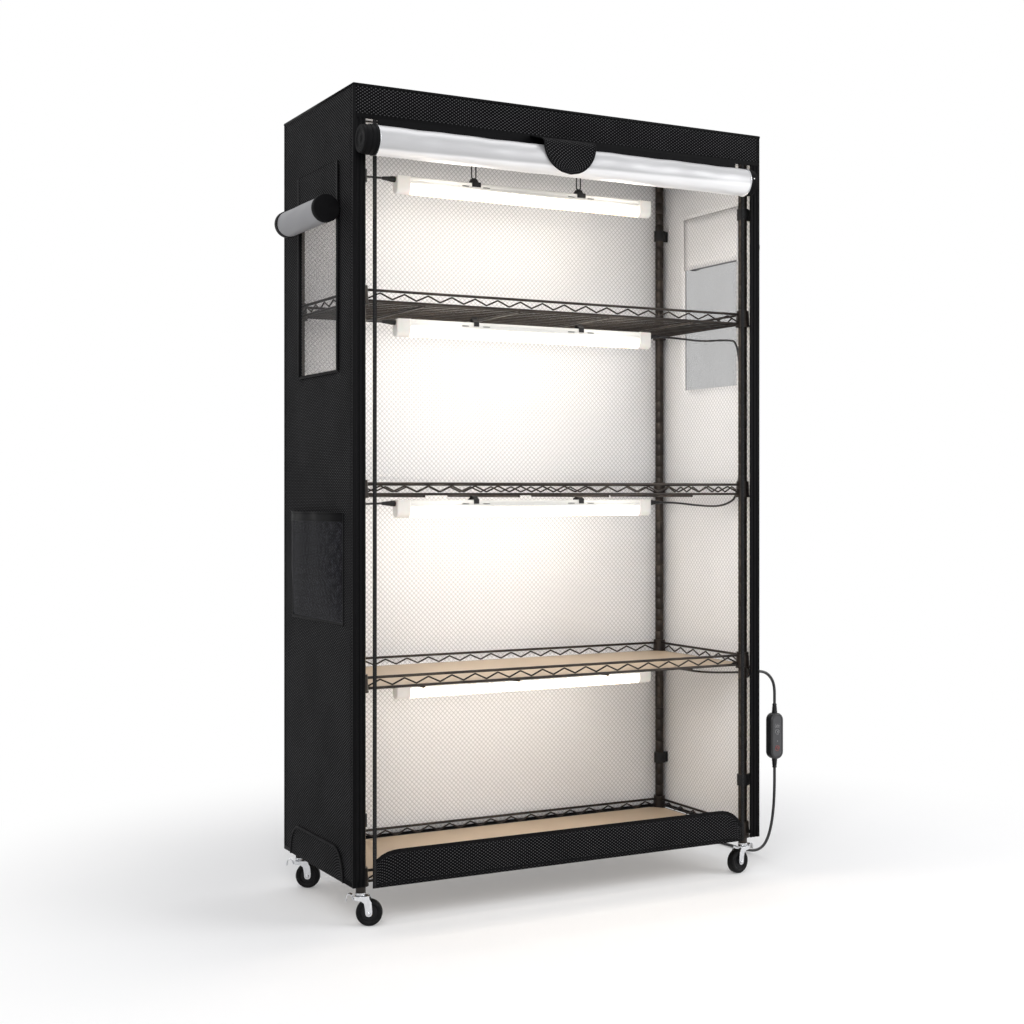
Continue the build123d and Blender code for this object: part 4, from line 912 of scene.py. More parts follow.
us = eased(pocket_front, pocket_rear, 30)
pouch = sheet_of(us, steps(pocket_foot, pocket_top - 0.017, 0.012), pocket_place).sewn(
    "pocket_net_front", [pocket_net], "net", "tool_pocket", closed=False)
trims = sheet_of(us, [pocket_top - 0.018, pocket_top - 0.009, pocket_top], pocket_place, 0.0010)
trims.swept([pocket_place(u, pocket_top - 0.0008, 0.0005) for u in us], rounded(0.0026, 0.0026), up)
trims.swept(pocket_edge(cover_left - 0.0008), rounded(0.0064, 0.0028), (-1, 0, 0))
trims = trims.sewn("pocket_binding", [binding], "binding")
beaded("pocket_stitches", [pocket_edge(cover_left - 0.0024),
                           [pocket_place(u, pocket_top - 0.0165, -0.0004) for u in us[2:-2]]])

# ---------------------------------------------------------------------------------------------
# Ties: loops of black webbing sewn to the side walls inside, closed round each post near its top
# and its foot, so that the cover can't slide on the rack.

webbing, start = new_finish("webbing", 0.3)
along, across = on_cloth(start)
weave = along.wave(0.0014) * across.wave(0.0022) * 0.5 + 0.5
weave.dress(((0.004, 0.004, 0.0045), (0.016, 0.016, 0.017)), (0.1, 0.6), (0.0003, 0.7))
ties = Shape()
loop_radius, sewn_x = 0.0112, 0.4632
band_outline = [(b, a) for a, b in rounded(0.0240, 0.0014)]
for x, y in post_places:
    side = 1 if x > 0 else -1
    for z in (hem_level + 0.119, hem_level + 1.325):
        ties.swept([(a, b, z) for a, b in arc(loop_radius, 24, middle=(x, y))], band_outline, up, joined=True)
        ties.swept([(x + side * 0.0115, y, z), (x + side * 0.0175, y + 0.0008, z), (side * sewn_x, y, z)],
                   band_outline, up)
        ties.swept([(x + side * 0.0075, y - 0.0090, z), (x + side * 0.0160, y - 0.0012, z)], band_outline, up)
ties = ties.sewn("webbing_ties", [webbing], "webbing", "cover_ties")

# ---------------------------------------------------------------------------------------------
# Door: silvery white film, rolled up under the header with its film side out. It hangs from the
# header's seam, its two ends are bound in black, and a half-round keeper folds over it.

silver_film, start = new_finish("silver_film", Metallic=0.35)
place = on_piece(start)
crease = place.node("ShaderNodeMapping", {"Vector": place, "Scale": (7.0, 60.0, 60.0)}).noise(1.0, 4.0)
fine = place.noise(120.0, 3.0)
along, across = on_cloth(start)
# Painted reflection: from a set length along the film, which falls on the roll's front, the colour is grey
# over the top and round the inner turns, and white below. The streaks that follow the creases in its colour
# are painted reflection and shade.
reflection_band = (across + along * -0.018).between(0.118, 0.125)
(reflection_band * -0.76 + crease.between(0.3, 0.7) * 0.10 + 0.90).dress(((0.38, 0.38, 0.39), (0.90, 0.90, 0.91)))
(fine * 0.10 + crease * 0.14 + 0.27).into("Roughness")
(crease * 0.6 + fine * 0.02).dress(relief=(0.0010, 0.20))

door_y, door_z, door_radius, door_pitch, door_turns = -0.1841, 1.4583, 0.0284, 0.00145, 11
door_left, door_right, door_core = -0.4176, 0.4018, 0.028
hung_rows, first_turn = 5, 26
door_line = [(cover_front - 0.0010, 1.5060 - 0.0080 * i) for i in range(hung_rows + 1)]
for i in range(40 * door_turns):
    turn, radius = 2 * math.pi * i / 40, door_radius - door_pitch * i / 40
    door_line.append((door_y + radius * math.cos(turn), door_z - radius * math.sin(turn)))


def door_place(u, v, depth):
    """u from -1 to 1 across the door, v the step along the rolled film."""
    y, z = door_line[v]
    left = door_left - 0.0172 * min(1.0, max(0.0, (v - hung_rows) / 8))
    x = left + (door_right - left) * (u + 1) / 2
    if v > hung_rows:
        outer = max(0.0, 1 - abs(v - first_turn) / 22)
        pucker = (0.0006 * math.sin(x * 37 + v * 0.25) + 0.0005 * math.sin(x * 83 - v * 0.4)) * outer
        pull = 1 - pucker / door_core
        y, z = door_y + (y - door_y) * pull, door_z + (z - door_z) * pull
    return x, y, z


door = sheet_of([-1 + 2 * i / 70 for i in range(71)], range(len(door_line)), door_place)
door_lengths, rows = lengths_along(door_line), len(door_line) - 1
door.uvs = [(u * 0.4183, door_lengths[v]) for u, v in door.uvs]
door.marks = [1 if i % rows < hung_rows else 0 for i in range(len(door.faces))]
door = door.sewn("door_film_roll", [silver_film, binding], "door_film", "door_roll", closed=False)
ends, rims = Shape(), Shape()
bound_end = [(0.0001, 0.0), (0.0287, 0.0), (0.0290, 0.0006), (0.0290, 0.0050), (0.0284, 0.0062),
             (0.0278, 0.0066), (0.0281, 0.0090), (0.0281, 0.0130), (0.0272, 0.0142), (0.0266, 0.0146),
             (0.0270, 0.0170), (0.0270, 0.0225), (0.0262, 0.0238), (0.0256, 0.0242), (0.0260, 0.0262),
             (0.0258, 0.0282), (0.0246, 0.0290), (0.0170, 0.0291), (0.0160, 0.0285), (0.0060, 0.0285),
             (0.0050, 0.0291), (0.0001, 0.0291)]
ends.turned(bound_end, (-0.4350, door_y, door_z), (-1, 0, 0), 56)
ends.turned([(radius, height * 0.65) for radius, height in bound_end], (0.4020, door_y, door_z),
            (1, 0, 0), 56)
ends = ends.sewn("door_roll_ends", [binding], "binding", "door_roll_bands", edge=0.0)
for x in (-0.4346, door_right):
    rims.turned([(0.0287, -0.0006), (0.0293, -0.0004), (0.0293, 0.0004), (0.0287, 0.0006)],
                (x, door_y, door_z), (1, 0, 0), 56)
rims.turned([(0.0001, -0.0020), (0.0016, -0.0010), (0.0018, 0.0), (0.0012, 0.0006), (0.0001, 0.0008)],
            (0.4090, door_y - 0.0280, door_z + 0.004), forward, 16)
rims = rims.piece("door_roll_rims", [zinc_plate], "binding")

keeper_x, keeper_half, keeper_top, keeper_bend, fold_radius = -0.035, 0.057, 1.5093, 1.4824, 0.0136
round_level, first_upright = 1.4867, 9
keeper_front = door_y - 0.0302
slope = math.degrees(math.atan2(0.0167, 0.0583))
fold = [(cover_front - 0.0012 - 0.0096 * i, keeper_top - 0.00275 * i) for i in range(5)]
fold += arc(fold_radius, 7, 90 + slope, 180, middle=(keeper_front + fold_radius, keeper_bend))
fold += [(keeper_front, keeper_bend - 0.0527 * i / 16) for i in range(1, 17)]


def keeper_place(u, v, depth):
    """u across from -1 to 1, v the step along the fold; the lower part is a half round."""
    y, z = fold[v]
    half = math.sqrt(max(keeper_half ** 2 - max(0.0, round_level - z) ** 2, 0.0))
    y, z = (y + depth, z) if v >= first_upright else (y, z - depth)
    return keeper_x + u * max(half, 0.002), y, z


rows = range(len(fold))
keeper = sheet_of([-1 + i / 10 for i in range(21)], rows, keeper_place, 0.0014)
keeper.uvs = [(u * keeper_half, keeper_top - fold[v][1] + cover_front - fold[v][0]) for u, v in keeper.uvs]
keeper = keeper.sewn("keeper_cloth", [oxford], "cover_fabric", "roll_keeper", body="keeper")
trim = Shape()
trim.swept([keeper_place(u, v, 0.0007) for u, way in ((-1, rows), (1, rows[::-1])) for v in way],
           arc(0.0017, 10, high=0.0019), (0, -1, 0.3))
trim = trim.sewn("keeper_piping", [binding], "binding", body="keeper")

# ---------------------------------------------------------------------------------------------
# Lamps: a folded channel in white enamel, a strip of LEDs on its underside behind a clear tube,
# and a frosted cap at each end. The lower three clip to a shelf wire, the top one hangs.

lamp_tops = {"top_lamp": 1.4433, "upper": 1.1573, "middle": 0.7943, "lower": 0.4303}
lamp_left, lamp_right, plug_drop = -0.299, 0.304, 0.00675
shell_half, glass_half, cap_half = 0.0120, 0.0110, 0.0126
clip_places = (-0.1225, 0.1275)

enamel = grained("white_enamel", 260.0, ((0.70, 0.70, 0.68), (0.80, 0.80, 0.78)), (0.15, 0.28),
                 (0.0002, 0.3), 3.0, Coat_Weight=0.3, Coat_Roughness=0.2)


def glowing(name, scale, tints, glow, rough=None, detail=2.0, **sockets):
    """A finish that shines by itself, with one noise on its colour and its glow."""
    made, start = new_finish(name, **sockets)
    cloud = on_piece(start).noise(scale, detail)
    cloud.dress(tints, rough)
    cloud.tint(*glow).into("Emission Color")
    return made


clear_tube = glowing(
    "clear_tube", 60.0, ((0.96, 0.93, 0.88), (1.0, 0.98, 0.95)), ((1.0, 0.91, 0.80), (1.0, 0.95, 0.87)),
    (0.1, 0.05), Transmission_Weight=1.0, IOR=1.2, Emission_Strength=0.7)
amber_foot = glowing(
    "tube_foot", 60.0, ((0.96, 0.80, 0.62), (1.0, 0.86, 0.70)), ((1.0, 0.64, 0.34), (1.0, 0.74, 0.46)),
    (0.1, 0.10), Transmission_Weight=0.6, IOR=1.2, Emission_Strength=0.85)
frosted_cap = glowing(
    "frosted_cap", 90.0, ((0.76, 0.76, 0.75), (0.86, 0.86, 0.85)), ((1.0, 0.90, 0.78), (1.0, 0.95, 0.86)),
    (0.15, 0.28), 3.0, Transmission_Weight=0.35, Subsurface_Weight=0.2, Subsurface_Scale=0.01,
    Emission_Strength=0.08)
led_glow = {name: glowing(name, 90.0, tints, tints, Emission_Strength=strength, Roughness=0.4)
            for name, tints, strength in (("led_white", ((1.0, 0.90, 0.74), (1.0, 0.97, 0.88)), 4.5),
                                          ("led_amber", ((1.0, 0.36, 0.08), (1.0, 0.48, 0.14)), 4.0))}
led_board, start = new_finish("led_board", Roughness=0.4)
tracks = start.node("ShaderNodeSeparateXYZ", {0: on_piece(start)}).wave(0.0085).between(0.2, 0.4)
tracks.dress(((0.74, 0.70, 0.62), (0.86, 0.82, 0.74)), relief=(0.0001, 0.4))

chips = new_pattern("led_row", First="Vector", Last="Vector", Count="Int", Size="Vector")
chip = chips["Size"].node("GeometryNodeMeshCube", {"Size": chips["Size"]})
chip_tree = end_pattern(chips, [set_on(line_of(chips["Count"], chips["First"], chips["Last"]), chip)])


def add_light(name, kind, place, energy, **settings):
    weave_sheen = bpy.data.lights.new(name, kind)
    weave_sheen.energy = energy
    for setting, value in settings.items():
        setattr(weave_sheen, setting, value)
    made = added(name, weave_sheen)
    made.location = place
    return made


plug_profile = [(0.0052, 0.0), (0.0060, 0.0004), (0.0060, 0.0085), (0.0055, 0.0092), (0.0055, 0.0100),
                (0.0050, 0.0112), (0.0050, 0.0130), (0.0044, 0.0136), (0.0044, 0.0146), (0.0048, 0.0152),
                (0.0046, 0.0168), (0.0040, 0.0174), (0.0040, 0.0184), (0.0044, 0.0190), (0.0041, 0.0208),
                (0.0036, 0.0214), (0.0036, 0.0224), (0.0038, 0.0230), (0.0034, 0.0270), (0.0030, 0.0288),
                (0.0026, 0.0290)]
for name, top in lamp_tops.items():
    hung = name == "top_lamp"
    body, node, plural = ("top_lamp", "top_lamp_", "") if hung else ("cabinet", "lamp_", "s")
    foot = top - 0.0135
    housing, slots, tube, board, caps, plugs = [Shape() for _ in range(6)]

    skin = [(-shell_half, foot), (-shell_half, top - 0.0100), (-0.0104, top - 0.0094),
            (-0.0104, top - 0.0062), (-shell_half, top - 0.0056), (-shell_half, top - 0.0014), (-0.0106, top)]
    skin += [(-y, z) for y, z in reversed(skin)]
    skin += [(y * (0.92 if abs(y) > 0.011 else 0.90), min(z, top - 0.0012)) for y, z in reversed(skin)]
    housing.hollow([[(x, rack_middle + y * size, z) for y, z in skin] for x, size in (
        (-0.2699, 0.985), (-0.2690, 1), (0.2740, 1), (0.2749, 0.985))])
    housing.piece("housing_" + name, [enamel], "lamp_shell", node + "housing" + plural, body, 0.0)

    for x in [x + step for x in clip_places for step in (-0.024, 0.024)]:
        for y in (rack_middle - 0.0106, rack_middle + 0.0106):
            slots.swept([(x + reach, y, top - 0.0078) for reach in (-0.0075, 0.0075)],
                        rounded(0.0030, 0.0010), up)
    slots.piece("clip_slots_" + name, [moulded_black], "lamp_shell", body=body)

    round_part = arc(glass_half, 17, 180, 360, middle=(0, foot - 0.0105))
    section = [(-glass_half, foot), *round_part, (glass_half, foot)]
    section += [(y * 0.9, max(z + 0.0011, foot - 0.0204) if z < foot - 0.001 else z)
                for y, z in reversed(section)]
    tube.hollow([[(x, rack_middle + y, z) for y, z in section] for x in (-0.2698, 0.2748)])
    tube.marks[7:11] = [1] * 4
    tube.piece("tube_" + name, [clear_tube, amber_foot], "lamp_lens", node + "tube" + plural, body, 0.0, 50.0)

    board.swept([(x, rack_middle, foot - 0.0007) for x in (-0.2690, 0.2740)],
                rounded(0.0012, 0.0120, 0.2), up)
    board.piece("board_" + name, [led_board], "led_board", node + "board" + plural, body)
    for glow, first_x, pitch, row in (("led_white", -0.2610, 0.0134, -0.0022),
                                      ("led_amber", -0.2543, 0.0268, 0.0026)):
        count = int(0.526 / pitch) + 1
        crisp(grown(glow + "_row_" + name, chip_tree, {
            "First": (first_x, rack_middle + row, foot - 0.0018),
            "Last": (first_x + pitch * (count - 1), rack_middle + row, foot - 0.0018), "Count": count,
            "Size": (0.0036, 0.0030, 0.0010), "Finish": led_glow[glow]}, body))

    round_part = arc(cap_half, 17, 180, 360, high=0.0121, middle=(0, foot - 0.0100))
    cap_outline = [(-cap_half, foot + 0.0137), *round_part, (cap_half, foot + 0.0137)]
    heart = foot - 0.0040
    for out, x in ((-1, -0.270), (1, 0.275)):
        caps.rings([[(x + out * reach, rack_middle + y * size, heart + (z - heart) * size)
                     for y, z in cap_outline] for reach, size in (
                         (0.0, 1.0), (0.0003, 1.02), (0.0022, 1.02), (0.0028, 1.0), (0.0262, 0.992),
                         (0.0280, 0.97), (0.0290, 0.91))])
    caps.piece("end_caps_" + name, [frosted_cap], "lamp_cap", node + "end_caps", body, 0.0, 45.0)
    for out, x in ((-1, lamp_left), (1, lamp_right))[:1 if hung else 2]:
        plugs.turned(plug_profile, (x, rack_middle, top - plug_drop), (out, 0, 0), 28)
    plugs.piece("plugs_" + name, [moulded_black], "black_plastic", "top_lamp_plug" if hung else "lead_plugs",
                body, 0.0)

    lamp_light = add_light("lamp_light_" + name, "AREA", (0.0025, rack_middle, foot - 0.0235), 0.42,
                           shape="RECTANGLE", size=0.52, size_y=0.014, color=(1.0, 0.92, 0.82))
    lamp_light.rotation_euler.x = math.radians(28)
    lamp_light.visible_camera = False
    for x in (-0.20, 0.20):
        spill = add_light("lamp_spill_" + name, "POINT", (x, rack_middle - 0.085, foot - 0.060),
                          0.66 if hung else 0.45, shadow_soft_size=0.05, color=(1.0, 0.915, 0.81))
        spill.visible_camera = False


def strip(half):
    """The outline of a flat strip, twice half wide."""
    return [(-half, -0.0008), (-half, 0.0008), (half, 0.0008), (half, -0.0008)]


clips = Shape()
for top in list(lamp_tops.values())[1:]:
    wire_z = top + 0.012
    about = (rack_middle, wire_z)
    hook = arc(0.0036, 19, -200, 20, middle=about) + arc(0.0018, 19, 20, -200, middle=about)
    for x in clip_places:
        clips.hollow([[(x + reach, y, z) for y, z in hook] for reach in (-0.006, 0.006)])
        for side in (-1, 1):
            clips.swept([(x, rack_middle + side * y, z) for y, z in (
                (0.0027, wire_z - 0.0032), (0.0062, top + 0.0042), (0.0100, top + 0.0026),
                (0.0130, top + 0.0008), (0.0130, top - 0.0080))], strip(0.006), (1, 0, 0))
        clips.swept([(x, rack_middle + y, top + 0.0009) for y in (-0.0128, 0.0128)], strip(0.006), (1, 0, 0))
clips.piece("sprung_clips", [moulded_black], "black_plastic", "lamp_clips", edge=0.0003)

hangers = Shape()
top, wire_level, round_outline = lamp_tops["top_lamp"], shelf_levels["top_shelf"], arc(0.0013, 12)
cut_square = ((-1, -0.8), (-0.8, -1), (0.8, -1), (1, -0.8), (1, 0.8), (0.8, 1), (-0.8, 1), (-1, 0.8))
hanger_steps = [(0.0018, 0.0100, 0.0138), (0.0022, 0.0100, 0.0069), (0.0095, 0.0062, 0.0052),
                (0.0110, 0.0050, 0.0040)]
for x in clip_places:
    hangers.swept([(x, y, z) for y, z in arc(0.0040, 18, -80, 260, middle=(rack_middle, wire_level))],
                  round_outline, (1, 0, 0))
    hangers.swept([(x, rack_middle, z) for z in (wire_level - 0.0038, top + 0.0390)],
                  round_outline, (1, 0, 0))
    hangers.swept([(x + c, rack_middle, top + 0.0250 + s + (math.copysign(0.0102, s) if abs(s) > 1e-6 else 0))
                   for c, s in arc(0.0050, 28, high=0.0036)], round_outline, (0, 1, 0), joined=True)
    hangers.rings([[(x + a * half_long, rack_middle + b * half_deep, top + rise) for a, b in cut_square]
                   for rise, half_long, half_deep in hanger_steps])
    for side in (-1, 1):
        hangers.swept([(x, rack_middle + side * 0.0130, top + rise) for rise in (0.0018, -0.0080)],
                      strip(0.0100), (1, 0, 0))
hangers.piece("wire_hangers", [moulded_black], "black_plastic", "top_lamp_hangers", "top_lamp", 0.0002)

# ---------------------------------------------------------------------------------------------
# Leads: thin round cords that carry the mains from lamp to lamp down the corners of the cover, and
# the feed from the grommet in the right wall.

jacket = grained("cord_jacket", 80.0, ((0.008, 0.008, 0.009), (0.020, 0.020, 0.021)), (0.14, 0.24),
                 (0.0003, 0.3), 3.0, specular=0.55)
lead_diameter, cord_diameter = 0.0046, 0.0064
corner_x, corner_y = 0.449, -0.1128


def smooth_line(name, route, steps_each):
    """A smooth curve that is drawn towards the corners of a route."""
    curve = bpy.data.curves.new(name, "CURVE")
    curve.dimensions, curve.resolution_u = "3D", steps_each
    spline = curve.splines.new("NURBS")
    spline.points.add(len(route) - 1)
    for point, place in zip(spline.points, route):
        point.co = (*place, 1)
    spline.order_u, spline.use_endpoint_u = 3, True
    return added(name, curve)


def cord_line(name, route, thickness):
    """A round cord along a route."""
    made = smooth_line(name, route, 8)
    made.data.bevel_depth, made.data.bevel_resolution, made.data.use_fill_caps = thickness / 2, 3, True
    made.data.materials.append(jacket)
    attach(made, "cabinet")
    return made


def lead_in(side, level):
    """From a lamp's plug to the corner, just below the lamp."""
    reach = 0.328 if side < 0 else 0.333
    return [(side * reach, rack_middle, level), (side * (reach + 0.040), rack_middle, level),
            (side * 0.429, 0.0032, level - 0.008), (side * corner_x, -0.0528, level - 0.008)]


plug_level = {name: top - plug_drop for name, top in lamp_tops.items()}
feed_level, join = 0.42355, (-0.439, -0.0248, 1.42855)
lead_runs = {
    "lead_top_to_upper": (0.551, [
        join, (-corner_x, -0.0528, 1.42855), (-corner_x, corner_y, 1.41855), (-corner_x, corner_y, 1.17055),
        *reversed(lead_in(-1, plug_level["upper"]))]),
    "lead_upper_to_middle": (0.753, [
        *lead_in(1, plug_level["upper"]), (corner_x, corner_y, 1.13255), (corner_x, corner_y, 0.80755),
        *reversed(lead_in(1, plug_level["middle"]))]),
    "lead_middle_to_lower": (0.763, [
        *lead_in(-1, plug_level["middle"]), (-corner_x, corner_y, 0.76955), (-corner_x, corner_y, 0.44355),
        *reversed(lead_in(-1, plug_level["lower"]))]),
    "lead_feed": (0.222, [
        (0.333, rack_middle, feed_level), (0.373, rack_middle, feed_level), (0.409, -0.0168, 0.41555),
        (0.429, corner_y, feed_level), (0.461, corner_y, feed_level)])}
for name, (length, route) in lead_runs.items():
    lead = cord_line(name, route, lead_diameter)
    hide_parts("lamp_leads")

# ---------------------------------------------------------------------------------------------
# Mains cord: it leaves the grommet in the right wall, hangs through the inline controller to the
# floor, runs back beside the cabinet and lies coiled behind it, and ends in a two-blade plug.

controller_x, controller_y, controller_top, controller_foot = 0.5382, corner_y, 0.33075, 0.23075
floor_line = 0.0035
grommet = Shape()
grommet.turned([(0.0046, -0.0024), (0.0125, -0.0024), (0.0130, -0.0019), (0.0130, -0.0005), (0.0126, 0.0),
                (0.0088, 0.0001), (0.0088, 0.0015), (0.0126, 0.0016), (0.0130, 0.0020), (0.0130, 0.0034),
                (0.0122, 0.0040), (0.0090, 0.0040), (0.0088, 0.0046), (0.0086, 0.0062), (0.0076, 0.0068),
                (0.0076, 0.0078), (0.0080, 0.0084), (0.0074, 0.0100), (0.0066, 0.0105), (0.0066, 0.0115),
                (0.0070, 0.0121), (0.0058, 0.0140), (0.0046, 0.0160), (0.0040, 0.0160)],
               (inner_x, controller_y, feed_level), (1, 0, 0), 36)
grommet.piece("grommet_moulded", [moulded_black], "black_plastic", "cable_grommet", edge=0.0)

cord_exit = (0.4794, controller_y, feed_level)
route = [cord_exit, (0.5054, controller_y, feed_level), (0.5262, controller_y, 0.41155),
         (controller_x, controller_y, 0.39075), (controller_x, controller_y, 0.35075),
         (controller_x, controller_y, 0.21075), (controller_x, controller_y, 0.168), (0.5394, -0.108, 0.122),
         (0.543, -0.094, 0.076), (0.549, -0.068, 0.036), (0.555, -0.030, 0.012),
         (0.5584, 0.014, floor_line), (0.557, 0.062, floor_line), (0.552, 0.110, floor_line),
         (0.544, 0.154, floor_line), (0.535, 0.194, floor_line), (0.52845, 0.231, floor_line),
         (0.52845, 0.2668, floor_line)]
coil_x, coil_y, rise = 0.52845, 0.2732, 0.0
for radius, way, climb in ((0.04345, 1, 0.0), (0.0398, -1, 0.0), (0.03615, 1, 0.0), (0.0325, -1, 0.0073),
                           (0.03615, 1, 0.0), (0.0398, -1, 0.0)):
    middle = (coil_x - way * radius, coil_y)
    bend = arc(way * radius / math.cos(math.pi / 16), 8, 11.25, 168.75, middle=middle)
    route += [(x, y, floor_line + rise + climb * (i + 0.5) / 8) for i, (x, y) in enumerate(bend)]
    coil_x -= 2 * way * radius
    rise += climb
plug_x, plug_y, plug_z = plug_start = (coil_x, coil_y + 0.045, floor_line + rise)
mains = cord_line("mains_cord", [*route, plug_start], cord_diameter)

plug, blades = Shape(), Shape()
plug.turned([(0.0034, -0.0005), (0.0045, 0.0004), (0.0046, 0.0034), (0.0040, 0.0040), (0.0040, 0.0052),
             (0.0047, 0.0058), (0.0048, 0.0088), (0.0042, 0.0094), (0.0042, 0.0106), (0.0050, 0.0112),
             (0.0051, 0.0142), (0.0045, 0.0148), (0.0045, 0.0160), (0.0053, 0.0166), (0.0054, 0.0262)],
            plug_start, (0, 1, 0), 28)
boxy = [[math.copysign(abs(a) ** 0.45, a) for a in pair] for pair in arc(1.0, 32)]
plug_body = [(0.0258, 0.0062, 0.0058), (0.0264, 0.0080, 0.0066), (0.0300, 0.0110, 0.0088),
             (0.0340, 0.0128, 0.0102), (0.0380, 0.0134, 0.0105), (0.0440, 0.0130, 0.0098),
             (0.0500, 0.0128, 0.0096), (0.0560, 0.0134, 0.0105), (0.0630, 0.0134, 0.0105),
             (0.0638, 0.0128, 0.0099)]
plug.rings([[(plug_x + wide * a, plug_y + y, plug_z + high * b) for a, b in boxy]
            for y, wide, high in plug_body])
plug = plug.piece("plug_moulded", [moulded_black], "black_plastic", "mains_plug", edge=0.0, angle=50.0)
for side in (-1, 1):
    blades.swept([(plug_x + side * 0.00635, plug_y + y, plug_z) for y in (0.0630, 0.0792, 0.0810)],
                 rounded(0.0063, 0.0015, 0.3), up)
blades = blades.piece("plug_blades_pressed", [zinc_plate], "plated_steel", "mains_plug", edge=0.0)

controller_shell = grained("controller_shell", 30.0, ((0.020, 0.020, 0.021), (0.028, 0.028, 0.030)),
                           (0.16, 0.36), (0.0001, 0.5), fine=1100.0, specular=0.45)
face_grey = grained("controller_face", 40.0, ((0.050, 0.050, 0.054), (0.064, 0.064, 0.068)), (0.12, 0.34),
                    (0.0001, 0.4), fine=1300.0, specular=0.4)
print_grey = grained("print_grey", 900.0, ((0.42, 0.42, 0.43), (0.55, 0.55, 0.56)), Roughness=0.5)
print_red = grained("print_red", 900.0, ((0.55, 0.035, 0.020), (0.72, 0.06, 0.035)), Roughness=0.45)

case, boots = Shape(), Shape()
case_middle = (controller_top + controller_foot) / 2
case_profile = [(0.0106, -0.0038), (0.0110, -0.0040), (0.0107, -0.0030), (0.0088, -0.0008), (0.0060, 0.0),
                (0.0006, 0.0), (0.0004, -0.0006), (-0.0004, -0.0006), (-0.0006, 0.0), (-0.0070, 0.0),
                (-0.0092, -0.0010), (-0.0106, -0.0030), (-0.0110, -0.0040), (-0.0110, -0.0052),
                (-0.0104, -0.0056), (-0.0102, -0.0057)]
face_rings = 2
case.rings([[(controller_x + a, controller_y + y, case_middle + b) for a, b in corner_arcs(
    0.0170 + grow, 0.0500 + grow, max(0.0158 + grow, 0.002), 9)] for y, grow in case_profile],
    [0] * (len(case_profile) - face_rings) + [1] * face_rings)
case = case.piece("controller_shells", [controller_shell, face_grey], "controller_plastic", "controller_case",
                  edge=0.0, angle=40.0)
boot_profile = [(0.0058, -0.0004), (0.0060, 0.0010), (0.0060, 0.0030)]
for i in range(5):
    low, reach = 0.0036 + 0.0030 * i, 0.0059 - 0.00025 * i
    boot_profile += [(reach - 0.0008, low - 0.0003), (reach - 0.0009, low + 0.0003), (reach, low + 0.0009),
                     (reach - 0.0001, low + 0.0021)]
boot_profile += [(0.0040, 0.0196), (0.0034, 0.0200)]
for level, way in ((controller_top, 1), (controller_foot, -1)):
    boots.turned(boot_profile, (controller_x, controller_y, level), (0, 0, way), 28)
boots = boots.piece("controller_boots_ribbed", [moulded_black], "black_plastic", "controller_boots", edge=0.0)

face_y, proud = controller_y - 0.0102, 0.0001
thin = rounded(0.0003, 0.0004)


def trace(shape, pairs, z, height, outline, joined=False):
    """Draw a line on the controller's front, by pairs about a point of its middle line."""
    shape.swept([(controller_x + a, face_y - height, z + b) for a, b in pairs], outline, forward, joined)


for name, z, finish, ring, whole, hands in (
        ("timer_button", 0.29025, print_grey, arc(0.0020, 24), True, [(0, 0.0013), (0, 0), (0.0010, 0)]),
        ("power_button", 0.25475, print_red, arc(0.0020, 16, 120, 420), False, [(0, 0.0024), (0, 0.0006)])):
    button, icon, groove = Shape(), Shape(), Shape()
    button.turned([(0.0001, -0.0008), (0.0040, -0.0008), (0.00415, 0.0), (0.00415, 0.0007),
                   (0.0038, 0.0011), (0.0030, 0.0010), (0.0001, 0.0010)],
                  (controller_x, face_y, z), forward, 36)
    button.piece(name + "_cap", [face_grey], "controller_plastic", name, name, 0.0)
    trace(icon, ring, z, 0.00112, thin, whole)
    trace(icon, hands, z, 0.00112, thin)
    icon.piece(name + "_icon", [finish], "controller_plastic", body=name)
    trace(groove, arc(0.0052, 32), z, proud, rounded(0.0004, 0.0004), True)
    groove.piece(name + "_ring", [finish], "controller_plastic")

marks = Shape()
for x in (-0.0046, 0.0, 0.0046):
    frame_line = [(x - 0.0017, 0.0), (x + 0.0017, 0.0), (x + 0.0017, -0.0038), (x - 0.0017, -0.0038)]
    trace(marks, frame_line, 0.30375, proud, rounded(0.0002, 0.0003), True)
    marks.turned([(0.0005, 0.0), (0.0005, 0.0003), (0.0001, 0.0004)], (controller_x + x, face_y, 0.30655),
                 forward, 12)
marks.turned([(0.0007, 0.0), (0.0007, 0.0004), (0.0001, 0.0006)], (controller_x, face_y, 0.27000),
             forward, 16)
marks = marks.piece("face_marks", [print_grey], "controller_plastic")
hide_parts("mains_cord_upper", "mains_cord_lower", "mains_coil")

# ---------------------------------------------------------------------------------------------
# The top lamp's own lead: a short thin cord in the same jacket. One end is plugged into the lamp,
# the other stays at the corner, where the next lead begins.

sway = [(-0.328, rack_middle, 1.43655), (-0.368, rack_middle, 1.43655), (-0.429, 0.0032, 1.42855), join]
guide = smooth_line("link_guide", sway, 16)
followed = bpy.data.meshes.new_from_object(guide.evaluated_get(bpy.context.evaluated_depsgraph_get()))
line = [vertex.co.copy() for vertex in followed.vertices]
bpy.data.objects.remove(guide)
link = Shape()
link.swept(line, arc(lead_diameter / 2, 16), up)
link = link.piece("link_lead", [jacket], "cord_jacket", body=None)
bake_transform(link)
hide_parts("link_lead_top")

# ---------------------------------------------------------------------------------------------
# Floor, light and camera: a pale floor that keeps its shadow under a white surround, with painted light
# that lifts the shadow under the cabinet, two soft lights in front and one above, and the lens that the
# measurements were taken with.

floor_mesh = bpy.data.meshes.new("studio_floor")
floor_mesh.from_pydata([(-9, -7, 0), (9, -7, 0), (9, 9, 0), (-9, 9, 0)], [], [(0, 1, 2, 3)])
added("studio_floor", floor_mesh)


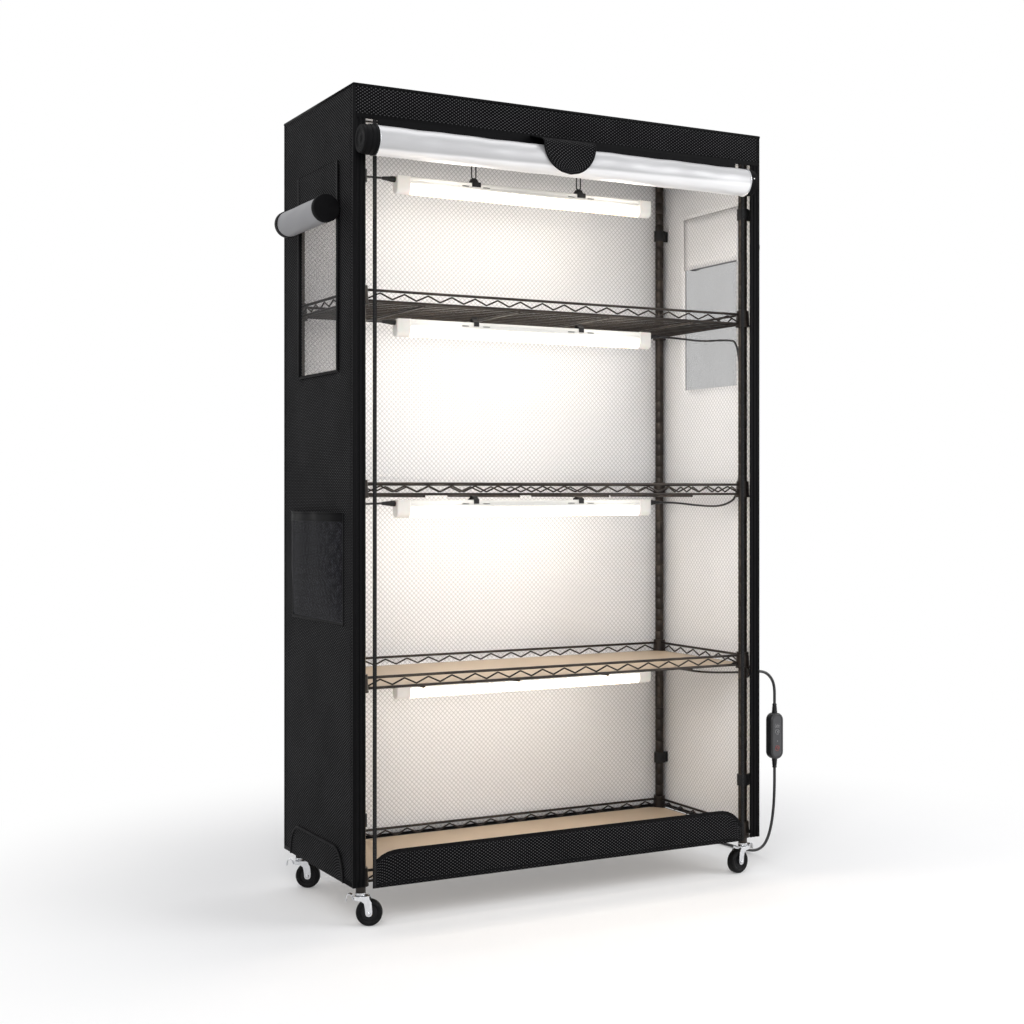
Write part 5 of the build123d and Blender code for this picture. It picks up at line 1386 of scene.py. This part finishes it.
def seen_directly(thread):
    """1 for rays that should show the white surround: from the camera, off gloss or through glass."""
    path = thread.node("ShaderNodeLightPath", out="Is Camera Ray")
    return path.maths("MAXIMUM", path.out("Is Glossy Ray")).maths("MAXIMUM", path.out("Is Transmission Ray"))


floor_white, start = new_finish("floor_white", 0.1, Roughness=0.6)
place = on_piece(start)
place.noise(3.0).dress(((0.93, 0.93, 0.93), (0.95, 0.95, 0.95)))
split = place.node("ShaderNodeSeparateXYZ", {0: place})
depth = split.out("Y")
reach = ((split - 0.1) * (split - 0.1) + (depth + 0.1) * (depth + 0.1)).maths("SQRT")
# Painted light: white is mixed in for the camera in an oval close round and under the cabinet, which lifts
# its shadow there.
painted_light_under = ((split * split * 0.3) + (depth * depth)).maths("SQRT").between(0.42, 0.20)
far = (reach.between(0.75, 1.55) + painted_light_under * 0.24) * seen_directly(start)
plain = start.node("ShaderNodeEmission", {"Color": (1.0, 1.0, 1.0, 1.0), "Strength": 1.0})
near = Thread(start.tree, start.tree.nodes["Principled BSDF"].outputs[0])
both = start.node("ShaderNodeMixShader", {0: far, 1: near, 2: plain})
start.tree.links.new(both.socket, start.tree.nodes["Material Output"].inputs["Surface"])
floor_mesh.materials.append(floor_white)

world = bpy.data.worlds.new("surround")
bpy.context.scene.world = world
world.use_nodes = True
white = seen_directly(Thread(world.node_tree)).tint((0.54, 0.54, 0.55), (1.0, 1.0, 1.0))
white.tree.links.new(white.socket, white.tree.nodes["Background"].inputs["Color"])

for name, place, size, energy in (("key_light", (-2.6, -3.4, 3.4), 2.6, 98.0),
                                  ("fill_light", (3.2, -2.6, 2.2), 2.4, 72.0),
                                  ("top_light", (0.2, 0.3, 4.2), 2.8, 38.0)):
    soft = add_light(name, "AREA", place, energy, size=size)
    soft.rotation_euler = (Vector((0, 0, 0.8)) - Vector(place)).to_track_quat("-Z", "Y").to_euler()

camera = added("camera", bpy.data.cameras.new("camera"))
camera.location = (-1.570, -2.836, 0.8093)
camera.rotation_euler = (math.radians(90), 0, math.radians(-28.2))
camera.data.lens, camera.data.sensor_width, camera.data.shift_y, camera.data.clip_end = 54.88, 36, -0.019, 60
bpy.context.scene.camera = camera
bpy.context.scene.view_settings.view_transform = "Standard"
